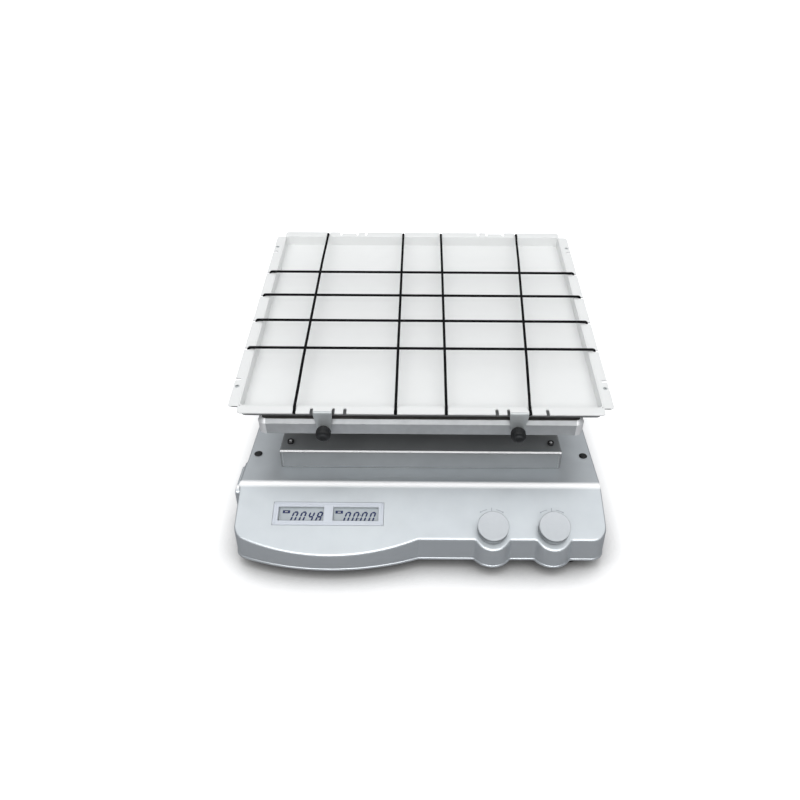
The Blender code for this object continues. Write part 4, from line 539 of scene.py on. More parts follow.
@dataclass(frozen=True)
class Finish:
    """A finish: its colours, its gloss and its grain."""

    name: str
    slot: str
    colour: tuple
    second: tuple
    roughness: float
    metallic: float = 0.0
    grain: Grain = Grain.MOULDED
    scale: float = 900.0
    bump: float = 0.08
    depth: float = 0.0002
    clouds: float = 12.0
    worn: tuple = (0.8, 0.8, 0.8)
    wear: float = 0.0
    dust: float = 0.06
    coat: float = 0.0
    shine: float = 0.5

    def material(self) -> bpy.types.Material:
        """The finish as a node material, made once."""
        found = bpy.data.materials.get(self.name)
        if found:
            return found
        made, tree, shader = new_material(self.name)
        place = tree.add("TexCoord").outputs["Object"]
        clouds = self.effect(tree, Effects.clouding(), Vector=place, Scale=self.clouds)
        colour = tree.mix(clouds.outputs[0], (*self.colour, 1), (*self.second, 1))
        dusty = self.effect(tree, Effects.settled(), Vector=place)
        dirt = tree.maths("MULTIPLY", dusty.outputs[0], self.dust)
        colour = tree.mix(dirt, colour, (0.75, 0.74, 0.72, 1))
        if self.wear:
            edges = self.effect(tree, Effects.edges(), Vector=place)
            colour = tree.mix(tree.maths("MULTIPLY", edges.outputs[0], self.wear), colour, (*self.worn, 1))
        read_at = tree.add("TexCoord").outputs["UV"] if self.grain is Grain.WOVEN else place
        height = self.effect(tree, Effects.skin(self.grain), Vector=read_at, Scale=self.scale)
        uneven = tree.maths("MULTIPLY", tree.maths("SUBTRACT", height.outputs[0], 0.5), 0.10)
        rough = tree.maths("ADD", tree.maths("ADD", uneven, self.roughness),
                           tree.maths("MULTIPLY", dusty.outputs[0], 0.12), True)
        bump = tree.add("Bump", Strength=self.bump, Distance=self.depth, Height=height.outputs[0])
        shader["Metallic"].default_value = self.metallic
        shader["Specular IOR Level"].default_value = self.shine
        # A painted highlight: along its strip the colour turns near white, the surface glows and loses its
        # metal sheen.
        painted_highlight = self.painted_highlight(tree)
        if painted_highlight is not None:
            tree.join(painted_highlight, shader["Emission Color"])
            shader["Emission Strength"].default_value = self.glow
            colour = tree.mix(painted_highlight, colour, (0.97, 0.975, 0.98, 1))
            plain = tree.maths("SUBTRACT", 1.0, painted_highlight)
            tree.join(tree.maths("MULTIPLY", plain, self.metallic), shader["Metallic"])
        tree.join(colour, shader["Base Color"])
        tree.join(rough, shader["Roughness"])
        tree.join(bump.outputs[0], shader["Normal"])
        shader["Coat Weight"].default_value = self.coat
        shader["Coat Roughness"].default_value = 0.25
        made.diffuse_color = (*self.colour, 1)
        return made

    def painted_highlight(self, tree: Tree) -> object:
        """A plain finish has no painted highlight."""
        return None

    @staticmethod
    def effect(tree: Tree, group: bpy.types.NodeTree, **inputs: object) -> bpy.types.Node:
        """Places a shared group in a tree."""
        node = tree.tree.nodes.new("ShaderNodeGroup")
        node.node_tree = group
        for name, value in inputs.items():
            tree.join(value, node.inputs[name])
        return node


@dataclass(frozen=True)
class HighlightPaint(Finish):
    """A finish with a painted highlight along one bent edge of the part: a lighter strip that also glows.

    The reach of a place is its distance in front of the drive axis. Within `near` of the reach `line` the
    painted highlight is one, it fades to nothing at `far`, and it lies only above the height `above`.
    """

    line: float = 0.0
    near: float = 0.002
    far: float = 0.005
    above: float = 0.0
    glow: float = 0.1

    def painted_highlight(self, tree: Tree) -> object:
        """How strong the painted highlight is at a place, from 0 to 1."""
        place = tree.add("SeparateXYZ", Vector=tree.add("TexCoord").outputs["Object"])
        reach = tree.maths("SUBTRACT", DRIVE_Y, place.outputs[1])
        away = tree.maths("ABSOLUTE", tree.maths("SUBTRACT", reach, self.line))
        strip = tree.ramp(away, self.near, self.far, fade=True)
        return tree.maths("MULTIPLY", strip, tree.ramp(place.outputs[2], self.above, self.above + 0.001))


# The housing's silver with a painted highlight: a lighter, glowing strip along the bend of the deck.
SILVER = HighlightPaint("sprayed silver", "silver_paint", (0.69, 0.73, 0.755), (0.655, 0.695, 0.725), 0.36, 0.8,
                   Grain.PEEL, 700.0, 0.05, 0.0002, 9.0, (0.85, 0.87, 0.89), 0.10, 0.03, 0.0,
                   line=BEND_REACH - 0.0004, near=0.0008, far=0.0058, above=0.060, glow=0.25)
KNOB_FACE = Finish("satin knob face", "silver_paint", (0.64, 0.67, 0.695), (0.61, 0.64, 0.67), 0.5, 0.15,
                   Grain.MOULDED, 1400.0, 0.08, 0.0002, 30.0, (0.9, 0.92, 0.94), 0.25, 0.02)
# A darker copy of the knob's silver for its side: painted shade.
SHADED_KNOB_SIDE = Finish("knob side", "silver_paint", (0.27, 0.285, 0.30), (0.245, 0.26, 0.27), 0.40, 0.6,
                   Grain.MOULDED, 1200.0, 0.08, 0.0002, 30.0, (0.6, 0.62, 0.64), 0.15, 0.02)
# The pedestal's grey with a painted highlight: a lighter, glowing line along the cover's front top edge.
GREY = HighlightPaint("sprayed grey", "grey_paint", (0.265, 0.277, 0.285), (0.245, 0.257, 0.265), 0.34, 0.3,
                 Grain.PEEL, 800.0, 0.06, 0.0002, 10.0, (0.85, 0.87, 0.89), 0.4, 0.03,
                 line=0.1546, near=0.0005, far=0.0011, above=0.0872, glow=0.14)
WHITE = Finish("white powder coat", "white_powder_coat", (0.87, 0.88, 0.875), (0.85, 0.86, 0.855), 0.34, 0.0,
               Grain.PEEL, 520.0, 0.10, 0.0003, 7.0, (0.70, 0.71, 0.71), 0.10, 0.02, 0.1)
# Grey metal of the eyelets; on the tray's tabs and in the display's windows the same grey is painted shade.
METAL_GREY_AND_SHADE = Finish("metal grey and painted shade", "white_powder_coat", (0.56, 0.59, 0.595), (0.52, 0.55, 0.555), 0.42, 0.5,
             Grain.BRUSHED, 2200.0, 0.10, 0.0002, 40.0, (0.7, 0.71, 0.72), 0.2, 0.02)
BRUSHED = Finish("brushed sheet", "anodised_sheet", (0.60, 0.615, 0.625), (0.51, 0.525, 0.535), 0.6, 0.85,
                 Grain.BRUSHED, 2600.0, 0.18, 0.0002, 14.0, (0.9, 0.91, 0.92), 0.3, 0.03)
STEEL = Finish("ground steel", "bright_steel", (0.62, 0.63, 0.65), (0.52, 0.53, 0.55), 0.24, 1.0,
               Grain.MOULDED, 1500.0, 0.05, 0.0001, 40.0, (0.8, 0.8, 0.82), 0.3, 0.05)
CAST = Finish("cast aluminium", "cast_aluminium", (0.50, 0.51, 0.52), (0.42, 0.43, 0.44), 0.48, 0.75,
              Grain.CAST, 500.0, 0.25, 0.0003, 20.0, (0.72, 0.73, 0.74), 0.35, 0.08)
BLACK = Finish("black plastic", "black_plastic", (0.010, 0.011, 0.012), (0.017, 0.018, 0.019), 0.42, 0.0,
               Grain.MOULDED, 1300.0, 0.15, 0.0002, 30.0, (0.10, 0.10, 0.10), 0.3, 0.02, shine=0.3)
RUBBER = Finish("black rubber", "black_rubber", (0.026, 0.026, 0.026), (0.042, 0.041, 0.040), 0.78, 0.0,
                Grain.MOULDED, 1000.0, 0.3, 0.0003, 35.0, (0.14, 0.14, 0.135), 0.4, 0.15)
# Dark grey painted shade for the white tray's hidden outer walls and underside.
SHADE_UNDERSIDE = Finish("shaded underside", "white_powder_coat", (0.25, 0.255, 0.255), (0.22, 0.225, 0.225), 0.6, 0.0,
               Grain.PEEL, 520.0, 0.10, 0.0003, 7.0, dust=0.0)
# Near black painted shade for the platform's flat top and underside, which lie under the tray.
SHADE_PLATE = Finish("platform top painted shade", "anodised_sheet", (0.090, 0.087, 0.082), (0.058, 0.056, 0.053), 0.5, 0.2,
               Grain.BRUSHED, 2400.0, 0.2, 0.0002, 60.0, dust=0.02)
GUARD = Finish("satin corner", "anodised_sheet", (0.88, 0.89, 0.90), (0.82, 0.83, 0.84), 0.4, 0.4,
               Grain.BRUSHED, 2600.0, 0.1, 0.0002, 14.0, dust=0.02)
SCREW = Finish("blackened steel", "bright_steel", (0.05, 0.05, 0.052), (0.035, 0.035, 0.037), 0.35, 0.8,
               Grain.MOULDED, 1500.0, 0.05, 0.0001, 40.0, (0.4, 0.4, 0.41), 0.4, 0.03)
CORD = Finish("elastic cord", "black_rubber", (0.004, 0.004, 0.005), (0.010, 0.010, 0.011), 0.9, 0.0,
              Grain.WOVEN, 2200.0, 0.5, 0.0002, 60.0, dust=0.0, shine=0.08)
GLASS = Finish("display face", "display_glass", (0.48, 0.525, 0.555), (0.45, 0.49, 0.52), 0.22, 0.0,
               Grain.MOULDED, 600.0, 0.01, 0.0001, 25.0, dust=0.02, coat=0.5)
INK = Finish("display ink", "display_glass", (0.006, 0.016, 0.085), (0.010, 0.022, 0.105), 0.35, 0.0,
             Grain.MOULDED, 900.0, 0.02, 0.0001, 30.0, dust=0.0)
SURROUND = Finish("display surround", "frame_grey", (0.70, 0.74, 0.80), (0.67, 0.71, 0.775), 0.34, 0.2,
                  Grain.MOULDED, 1200.0, 0.05, 0.0002, 18.0, (0.8, 0.82, 0.85), 0.15, 0.02)
PRINT = Finish("panel print", "frame_grey", (0.42, 0.45, 0.49), (0.39, 0.42, 0.46), 0.55, 0.0,
               Grain.MOULDED, 1500.0, 0.05, 0.0001, 60.0, dust=0.0)
CHALK = Finish("switch print", "white_powder_coat", (0.72, 0.72, 0.70), (0.64, 0.64, 0.62), 0.6, 0.0,
               Grain.MOULDED, 1500.0, 0.05, 0.0001, 60.0, dust=0.0)
BOARD = Finish("circuit board", "circuit_board", (0.02, 0.15, 0.065), (0.035, 0.22, 0.095), 0.42, 0.0,
               Grain.MOULDED, 700.0, 0.2, 0.0002, 130.0, (0.55, 0.45, 0.2), 0.25, 0.08)


# ---------------------------------------------------------------- making pieces


def mesh_from(name: str, surfaces: list) -> bpy.types.Mesh:
    """Joins surfaces in one mesh, merges doubles and turns the faces outwards.

    Args:
        name: The mesh's name.
        surfaces: Closed surfaces.

    Returns:
        The mesh.
    """
    mesh = bpy.data.meshes.new(name)
    starts = np.cumsum([0] + [len(surface.points) for surface in surfaces])
    faces = [
        tuple(int(index) + start for index in face)
        for surface, start in zip(surfaces, starts.tolist())
        for face in surface.faces
    ]
    mesh.from_pydata(np.concatenate([surface.points for surface in surfaces]).tolist(), [], faces)
    shape = bmesh.new()
    shape.from_mesh(mesh)
    bmesh.ops.remove_doubles(shape, verts=shape.verts, dist=1e-6)
    bmesh.ops.dissolve_degenerate(shape, edges=shape.edges, dist=1e-7)
    bmesh.ops.recalc_face_normals(shape, faces=shape.faces)
    shape.to_mesh(mesh)
    shape.free()
    return mesh


def placed(name: str, data: bpy.types.ID) -> bpy.types.Object:
    """A new object in the scene for a mesh or a camera."""
    obj = bpy.data.objects.new(name, data)
    bpy.context.scene.collection.objects.link(obj)
    return obj


def add_object(name: str, surfaces: list, matrix: Matrix = Matrix()) -> bpy.types.Object:
    """An object from surfaces, with its place in its mesh.

    Args:
        name: The object's name.
        surfaces: Closed surfaces.
        matrix: Where they go.

    Returns:
        The object.
    """
    return placed(name, mesh_from(name, [surface.moved(matrix) for surface in surfaces]))


def combine(obj: bpy.types.Object, surfaces: list, matrix: Matrix, operation: str = "DIFFERENCE") -> None:
    """Applies one exact Boolean to an object.

    Args:
        obj: What is changed.
        surfaces: Closed surfaces of the tool.
        matrix: Where the tool goes.
        operation: DIFFERENCE or UNION.
    """
    tool = add_object(f"{obj.name}_tool", surfaces, matrix)
    step = obj.modifiers.new("opening", "BOOLEAN")
    step.operation, step.solver, step.object, step.use_self = operation, "EXACT", tool, operation == "UNION"
    graph = bpy.context.evaluated_depsgraph_get()
    made = bpy.data.meshes.new_from_object(obj.evaluated_get(graph))
    obj.modifiers.clear()
    old, obj.data = obj.data, made
    bpy.data.meshes.remove(old)
    bpy.data.objects.remove(tool, do_unlink=True)
    made.name = obj.name


def dress(
    obj: bpy.types.Object,
    finish: Finish,
    body: str,
    stands_for: tuple = (),
    crease: float = 32,
    even: bool = False,
) -> bpy.types.Object:
    """Gives a piece its finish and its body.

    Args:
        obj: The piece.
        finish: Its finish.
        body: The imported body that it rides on.
        stands_for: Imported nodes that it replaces.
        crease: Edges sharper than this angle stay sharp.
        even: Whether big flat faces rule the shading at their edges.

    Returns:
        The piece.
    """
    obj.data.shade_smooth()
    obj.data.set_sharp_from_angle(angle=math.radians(crease))
    if even:
        step = obj.modifiers.new("even light", "WEIGHTED_NORMAL")
        step.keep_sharp = True
    obj.data.materials.clear()
    obj.data.materials.append(finish.material())
    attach(obj, body)
    if stands_for:
        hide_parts(*stands_for)
    LOG.info("%s: %d faces on %s", obj.name, len(obj.data.polygons), body)
    return obj


def piece(name: str, surfaces: list, place: Matrix, *look: object, **shading: object) -> bpy.types.Object:
    """Makes a piece at a place and dresses it. What follows the place is as in dress."""
    return dress(add_object(name, surfaces, place), *look, **shading)


def repaint(obj: bpy.types.Object, matrix: Matrix, finish: Finish, chosen: object) -> None:
    """Gives some of a piece's faces another finish.

    Args:
        obj: The piece.
        matrix: The frame in which the faces are chosen.
        finish: Their finish.
        chosen: Takes the middles and the normals of the faces and gives a mask.
    """
    values = {}
    for name in ("center", "normal"):
        rows = np.empty(len(obj.data.polygons) * 3)
        obj.data.polygons.foreach_get(name, rows)
        values[name] = rows.reshape(-1, 3)
    back = np.array(matrix.inverted())
    mask = chosen(values["center"] @ back[:3, :3].T + back[:3, 3], values["normal"] @ back[:3, :3].T)
    index = np.empty(len(mask), np.int32)
    obj.data.polygons.foreach_get("material_index", index)
    obj.data.materials.append(finish.material())
    index[mask] = len(obj.data.materials) - 1
    obj.data.polygons.foreach_set("material_index", index)


def paint_nodes(names: tuple, finish: Finish) -> None:
    """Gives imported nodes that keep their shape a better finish."""
    for name in names:
        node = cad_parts[name]
        node.data.materials.clear()
        node.data.materials.append(finish.material())
        LOG.info("%s: kept, %s", name, finish.name)


# ---------------------------------------------------------------- the base


@dataclass
class Housing:
    """Sprayed housing: deck, bend, sloped panel, bulged skirt, openings and what closes it."""

    half_width: float = 0.195
    rear: float = 0.1865
    wall: float = 0.0025
    bend_radius: float = 0.010
    side_edge: float = 0.0016
    front_edge: float = 0.0024
    rear_edge: float = 0.005
    front_corner: float = 0.015
    rear_corner: float = 0.012
    bulge_reach: float = 0.2574
    bulge_x: float = -0.0945
    bulge_chord: float = 0.185
    nose_radius: float = 0.021
    nose_up: float = 0.0112
    nose_slant: float = math.radians(50)
    fillet: float = 0.004
    boss_out: float = 0.0019
    boss_from: float = -0.1486
    boss_to: float = -0.1870
    lip: float = 0.0007
    plug: tuple = (0.1853, 0.1326)
    vent_x: float = 0.105
    vent_pitch: float = 0.0095

    def top_height(self, y: np.ndarray, inset: float) -> np.ndarray:
        """Height of the top over the depth y: level deck, an arc of the bend's radius, then the panel.

        Args:
            y: Depths from the drive axis.
            inset: How far inside the skin.

        Returns:
            Heights.
        """
        deck, radius = DECK - inset, self.bend_radius - inset
        bend = -BEND_REACH + inset * math.tan(SLOPE / 2)
        start = bend + radius * math.tan(SLOPE / 2)
        along = np.clip(start - y, 0, radius * math.sin(SLOPE))
        bent = deck - radius + np.sqrt(radius**2 - along**2)
        panel = deck + (y - bend) * math.tan(SLOPE)
        return np.where(y < start - radius * math.sin(SLOPE), panel, bent)

    def front_line(self) -> Outline:
        """The plan of the front, left to right: corner, display arc, two noses and corner."""
        rise = self.bulge_reach - SKIRT_REACH
        radius = (self.bulge_chord**2 / 4 + rise**2) / (2 * rise)
        centre = radius - self.bulge_reach
        first = math.asin((-self.half_width + self.front_corner - self.bulge_x) / radius)
        last = math.asin(math.sqrt(radius**2 - (centre + SKIRT_REACH) ** 2) / radius)
        corner = centre - math.sqrt(radius**2 - (self.half_width + self.bulge_x) ** 2)
        corners = [(-self.half_width, -0.2, 0), (-self.half_width, corner, self.front_corner)]
        for angle in np.linspace(first, last, 45):
            x = self.bulge_x + radius * math.sin(angle)
            corners.append((x, centre - radius * math.cos(angle), 0))
        corners[-1] = (*corners[-1][:2], self.fillet)
        for knob in KNOBS.values():
            middle = -(SKIRT_REACH - self.nose_up * math.cos(SLOPE))
            tip = middle - self.nose_radius / math.cos(self.nose_slant)
            half = (-SKIRT_REACH - tip) / math.tan(self.nose_slant)
            corners.append((knob - half, -SKIRT_REACH, self.fillet))
            corners.append((knob, tip, self.nose_radius))
            corners.append((knob + half, -SKIRT_REACH, self.fillet))
        corners.append((self.half_width, -SKIRT_REACH, self.front_corner))
        corners.append((self.half_width, -0.2, 0))
        return Outline.rounded(corners, 6, 0.003, closed=False)

    def edge_radius(self, facing: np.ndarray, far: float) -> np.ndarray:
        """Edge radius that grows from the side's to an end's as the normal turns to that end."""
        return self.side_edge + (far - self.side_edge) * smooth(np.abs(facing) * 2)

    def rear_line(self, wanted: np.ndarray, inset: float) -> tuple:
        """Points, normals and edge radii of the rear line whose top edge passes over the wanted x.

        Args:
            wanted: Places across, on the top edge.
            inset: How far inside the skin.

        Returns:
            Points, normals and radii.
        """
        turn = np.linspace(0, math.pi / 2, 400)
        normal = np.stack([np.cos(turn), np.sin(turn)], axis=1)
        hub = np.array([self.half_width - self.rear_corner, self.rear - self.rear_corner])
        point = hub + self.rear_corner * normal
        radius = self.edge_radius(normal[:, 1], self.rear_edge)
        edge = point[:, 0] - (radius + inset) * normal[:, 0]
        across = np.abs(wanted)
        straight = across < edge[-1]
        angle = np.interp(-across, -edge, turn)
        angle[straight] = math.pi / 2
        normals = np.stack([np.sign(wanted) * np.cos(angle), np.sin(angle)], axis=1)
        points = np.stack([hub[0] * np.sign(wanted), np.full_like(wanted, hub[1])], axis=1)
        points += self.rear_corner * normals
        points[straight, 0] = wanted[straight]
        normals[straight, 0] = 0
        return points, normals, self.edge_radius(normals[:, 1], self.rear_edge)

    def skin(self, inset: float, edges: float, foot: list, boss: float) -> tuple:
        """One wall of the housing as a grid for the top and rings for the edge, the sides and the foot.

        The grid's columns run from the front line to the rear line. Its height is top_height(y). Ring k
        lies radius - (radius + boss) sin a inside the plan and radius (1 - cos a) below the top, with the
        angle a going from level to upright; the last rings are the foot's.

        Args:
            inset: How far this wall is inside the plan.
            edges: Factor on the edge radii.
            foot: (inset, height) pairs of the lowest rings.
            boss: How far the boss stands out on the left.

        Returns:
            Points, faces and the indices of the last ring.
        """
        front = self.front_line()
        rim = self.edge_radius(front.normals[:, 1], self.front_edge) * edges
        near = front.points - (rim[:, None] + inset) * front.normals
        far, far_normal, far_rim = self.rear_line(near[:, 0], inset)
        far_rim = far_rim * edges
        back = far - (far_rim[:, None] + inset) * far_normal
        back[:, 0] = near[:, 0]

        radius = self.bend_radius - inset
        start = -BEND_REACH + inset * math.tan(SLOPE / 2) + radius * math.tan(SLOPE / 2)
        bend = start - radius * np.sin(np.linspace(SLOPE, 0, 10))
        stride = 0.0015
        close = np.arange(start + stride, -0.143, stride)
        deck = np.concatenate([close, np.linspace(-0.142, self.rear - 0.0135, 22)])
        panel = near[:, 1, None] + (bend[0] - near[:, 1, None]) * np.linspace(0, 1, 22)[:-1]
        last = deck[-1] + (back[:, 1, None] - deck[-1]) * np.linspace(0, 1, 7)[1:]
        middle = np.broadcast_to(np.concatenate([bend, deck]), (len(near), len(bend) + len(deck)))
        y = np.concatenate([panel, middle, last], axis=1)
        x = np.broadcast_to(near[:, :1], y.shape)
        grid = np.stack([x, y, self.top_height(y, inset)], axis=2)
        columns, rows = y.shape

        index = np.arange(columns * rows).reshape(columns, rows)
        border = [index[:, 0], index[-1, 1:-1], index[::-1, -1], index[0, -2:0:-1]]
        side_y = y[0, 1:-1]
        side = np.full_like(side_y, self.half_width)
        right = np.stack([side, y[-1, 1:-1]], axis=1)
        left = np.stack([-side, side_y], axis=1)[::-1]
        plan = np.concatenate([front.points, right, far[::-1], left])
        across = np.tile((1.0, 0.0), (len(right), 1))
        normal = np.concatenate([front.normals, across, far_normal[::-1], -across])
        flat_side = np.full(len(right), self.side_edge * edges)
        rim = np.concatenate([rim, flat_side, far_rim[::-1], flat_side])
        rise = smooth((plan[:, 1] - self.boss_to + 0.006) / 0.009)
        bump = rise * smooth((self.boss_from - plan[:, 1]) / 0.003 + 1)
        bump = np.where(normal[:, 0] < -0.99, bump * boss, 0.0)

        rings = []
        for angle in sweep(0, 90, 8)[1:]:
            inside = inset + rim - (rim + bump) * math.sin(angle)
            place = plan - normal * inside[:, None]
            fall = (rim + bump / 2) * (1 - math.cos(angle))
            rings.append(np.column_stack([place, self.top_height(place[:, 1], inset) - fall]))
        edge, top_foot = rings[-1], foot[0][1]
        for share in (0.25, 0.5, 0.75):
            rings.append(np.column_stack([edge[:, :2], edge[:, 2] + (top_foot - edge[:, 2]) * share]))
        for inside, height in foot:
            place = plan - normal * (inside - bump)[:, None]
            rings.append(np.column_stack([place, np.full(len(plan), height)]))
        ring_points = np.concatenate(rings)
        points = np.concatenate([grid.reshape(-1, 3), ring_points])
        count, base = len(plan), columns * rows
        faces = quads(columns, rows, wrap=False).tolist()
        below = base + np.arange(len(rings) * count).reshape(-1, count)
        levels = np.concatenate([np.concatenate(border)[None], below])
        after = np.roll(levels, -1, axis=1)
        faces += np.stack([levels[:-1], after[:-1], after[1:], levels[1:]], axis=-1).reshape(-1, 4).tolist()
        return points, faces, levels[-1]

    def shell(self) -> Surface:
        """The outer and the inner wall joined along the foot."""
        low, lip = GROUND_CLEARANCE, self.lip
        foot = [(0, low + 0.0028), (-lip * 0.6, low + 0.0024), (-lip, low + 0.0018), (-lip, low + 0.0005),
                (-lip + 0.0005, low), (self.wall, low)]
        outer, outer_faces, outer_ring = self.skin(0, 1, foot, self.boss_out)
        inner_foot = [(self.wall, low + 0.002), (self.wall, low)]
        inner, inner_faces, inner_ring = self.skin(self.wall, 0.4, inner_foot, 0)
        start = len(outer)
        faces = outer_faces + [tuple(i + start for i in face) for face in inner_faces]
        rings = np.stack([outer_ring, inner_ring + start])
        after = np.roll(rings, -1, axis=1)
        faces += np.stack([rings[0], after[0], after[1], rings[1]], axis=1).tolist()
        return Surface(np.concatenate([outer, inner]), faces)

    def openings(self) -> list:
        """Tools for the drive's passage, the plugs, the switch, the inlet and the vents."""
        tools = [Outline.circle(PASSAGE, 72).prism(DECK - 0.01, DECK + 0.01)]
        for x, y in CORNERS:
            hole = Outline.circle(0.0033, 20, (x * self.plug[0], y * self.plug[1]))
            tools.append(hole.prism(0.06, 0.075))
        tools.append(block((0.016, 0.0306, 0.0226), (-0.1955, SWITCH_Y, SWITCH_Z)))
        tools.append(block((0.0276, 0.016, 0.0201), (INLET_X, self.rear, INLET_Z)))
        vent = Outline.rectangle(0.0015, 0.012, 0.00145, step=30).prism(-0.008, 0.008)
        for index in range(-3, 4):
            x = self.vent_x + index * self.vent_pitch
            tools.append(vent.moved(move(x, self.rear, INLET_Z) @ ALONG_Y))
        return tools

    def panel_openings(self) -> list:
        """Tools for the display and the two knobs' bushes, on the panel."""
        tools = [Outline.rectangle(0.05875, 0.0133, 0.001, (-0.0972, 0.0277)).prism(-0.008, 0.008)]
        bushes = [Outline.circle(0.0048, 32, (x, self.nose_up)) for x in KNOBS.values()]
        return tools + [bush.prism(-0.008, 0.008) for bush in bushes]

    def build(self) -> None:
        """Makes the housing with its openings, the feet and the plugs, and paints the bottom plate."""
        shell = add_object("housing_shell", [self.shell()], AXIS)
        combine(shell, self.openings(), AXIS)
        combine(shell, self.panel_openings(), PANEL)
        # The silver paints a glowing highlight along the deck's bend.
        dress(shell, SILVER, "base", ("base_housing",), 28, even=True)
        self.feet()
        self.plugs()
        paint_nodes(("bottom_plate",), GREY)

    def feet(self) -> None:
        """Rubber feet: a tapered plug with a ribbed wall and a sunk screw."""
        top = GROUND_CLEARANCE - GAP
        profile = [(0, top), (0.0125, top), (0.0125, top - 0.001), (0.0121, top - 0.0013), (0.0114, 0.0052),
                   (0.0109, 0.0048), (0.0113, 0.0043), (0.0107, 0.0010), (0.0099, 0.0), (0.0052, 0.0),
                   (0.0048, 0.0003), (0.0048, 0.0035), (0, 0.0035)]
        for quarter, x, y in QUARTERS:
            name = f"{quarter}_foot"
            place = AXIS @ move(x * 0.160, -0.222 if y < 0 else 0.163, 0)
            piece(name + "_rubber", [turned(profile, 48)], place, RUBBER, "base", (name,))

    def plugs(self) -> None:
        """Domed plastic plugs pressed in the deck."""
        profile = dome(0.0046, GAP + 0.0003, 0.0009, 8)
        profile += [(0.0046, GAP), (0.003, GAP), (0.003, -0.0045), (0.0025, -0.0055), (0, -0.0055)]
        for quarter, x, y in QUARTERS:
            name = f"{quarter}_deck_plug"
            place = AXIS @ move(x * self.plug[0], y * self.plug[1], DECK)
            piece(name + "_cap", [turned(profile, 40)], place, BLACK, "base", (name,))


@dataclass
class Pedestal:
    """Raised sheet box on the deck with its socket screws."""

    half: float = 0.1557
    top: float = 0.0895
    sheet: float = 0.0015
    bend: float = 0.0022
    screw_x: float = 0.1448
    screw_y: float = 0.1406

    def build(self) -> None:
        """Makes the cover and its four screws."""
        low, bend = DECK + GAP, self.bend
        edge = [(bend * (1 - math.cos(a)), self.top - bend + bend * math.sin(a)) for a in sweep(0, 90, 8)]
        outer = Outline.rectangle(self.half, self.half, 0.003, step=15)
        cover = add_object("pedestal_box", [outer.carry([(0, low), *edge])], AXIS)
        inside = self.half - self.sheet
        core = Outline.rectangle(inside, inside, 0.0015, step=30).prism(low - 0.004, self.top - self.sheet)
        combine(cover, [core], AXIS)
        tools = [Outline.circle(PASSAGE, 72).prism(self.top - 0.01, self.top + 0.01)]
        tall = self.top - 0.004 - low
        middle = (low + self.top - 0.004) / 2 + 0.001
        for x, y in CORNERS:
            hole = Outline.circle(0.0023, 20, (x * self.screw_x, y * self.screw_y))
            tools.append(hole.prism(self.top - 0.01, self.top + 0.01))
            seam = block((0.0003, 0.0010, tall), (x * (self.half - 0.0032), y * self.half, 0))
            tools.append(seam.moved(move(0, 0, middle)))
        combine(cover, tools, AXIS)
        # The grey paints a glowing highlight along the cover's front top edge.
        dress(cover, GREY, "base", ("pedestal_cover",), 30, even=True)
        # A pale satin pin in each socket: a painted highlight for the glint in the socket.
        pin = [(0, 0.0034), (0.0009, 0.0033), (0.0015, 0.0029), (0.0018, 0.0022), (0.0018, 0.0012),
               (0, 0.0012)]
        for quarter, x, y in QUARTERS:
            name = f"{quarter}_pedestal_screw"
            place = AXIS @ move(x * self.screw_x, y * self.screw_y, self.top + GAP)
            piece(name + "_head", [self.screw()], place, SCREW, "base", (name,))
            piece(name + "_pin", [turned(pin, 24)], place, GUARD, "base")

    @staticmethod
    def screw() -> Surface:
        """Socket screw: a knurled turned head round a hexagonal socket."""
        profile = [(0, 0.0012), (0.0019, 0.0012), (0.0019, 0.0029), (0.0023, 0.0033), (0.0032, 0.0033),
                   (0.0036, 0.0028), (0.0036, 0.0004), (0.0033, 0.0), (0.0020, 0.0), (0.0020, -0.0100),
                   (0, -0.0104)]
        steps, knurls = 72, 24
        ripple = np.ones((len(profile), steps))
        ripple[1:3] = hexagon(steps) * 1.08
        ripple[5:7] = 1 + 0.012 * np.sign(np.cos(spokes(steps) * knurls))
        return turned(profile, steps, ripple)


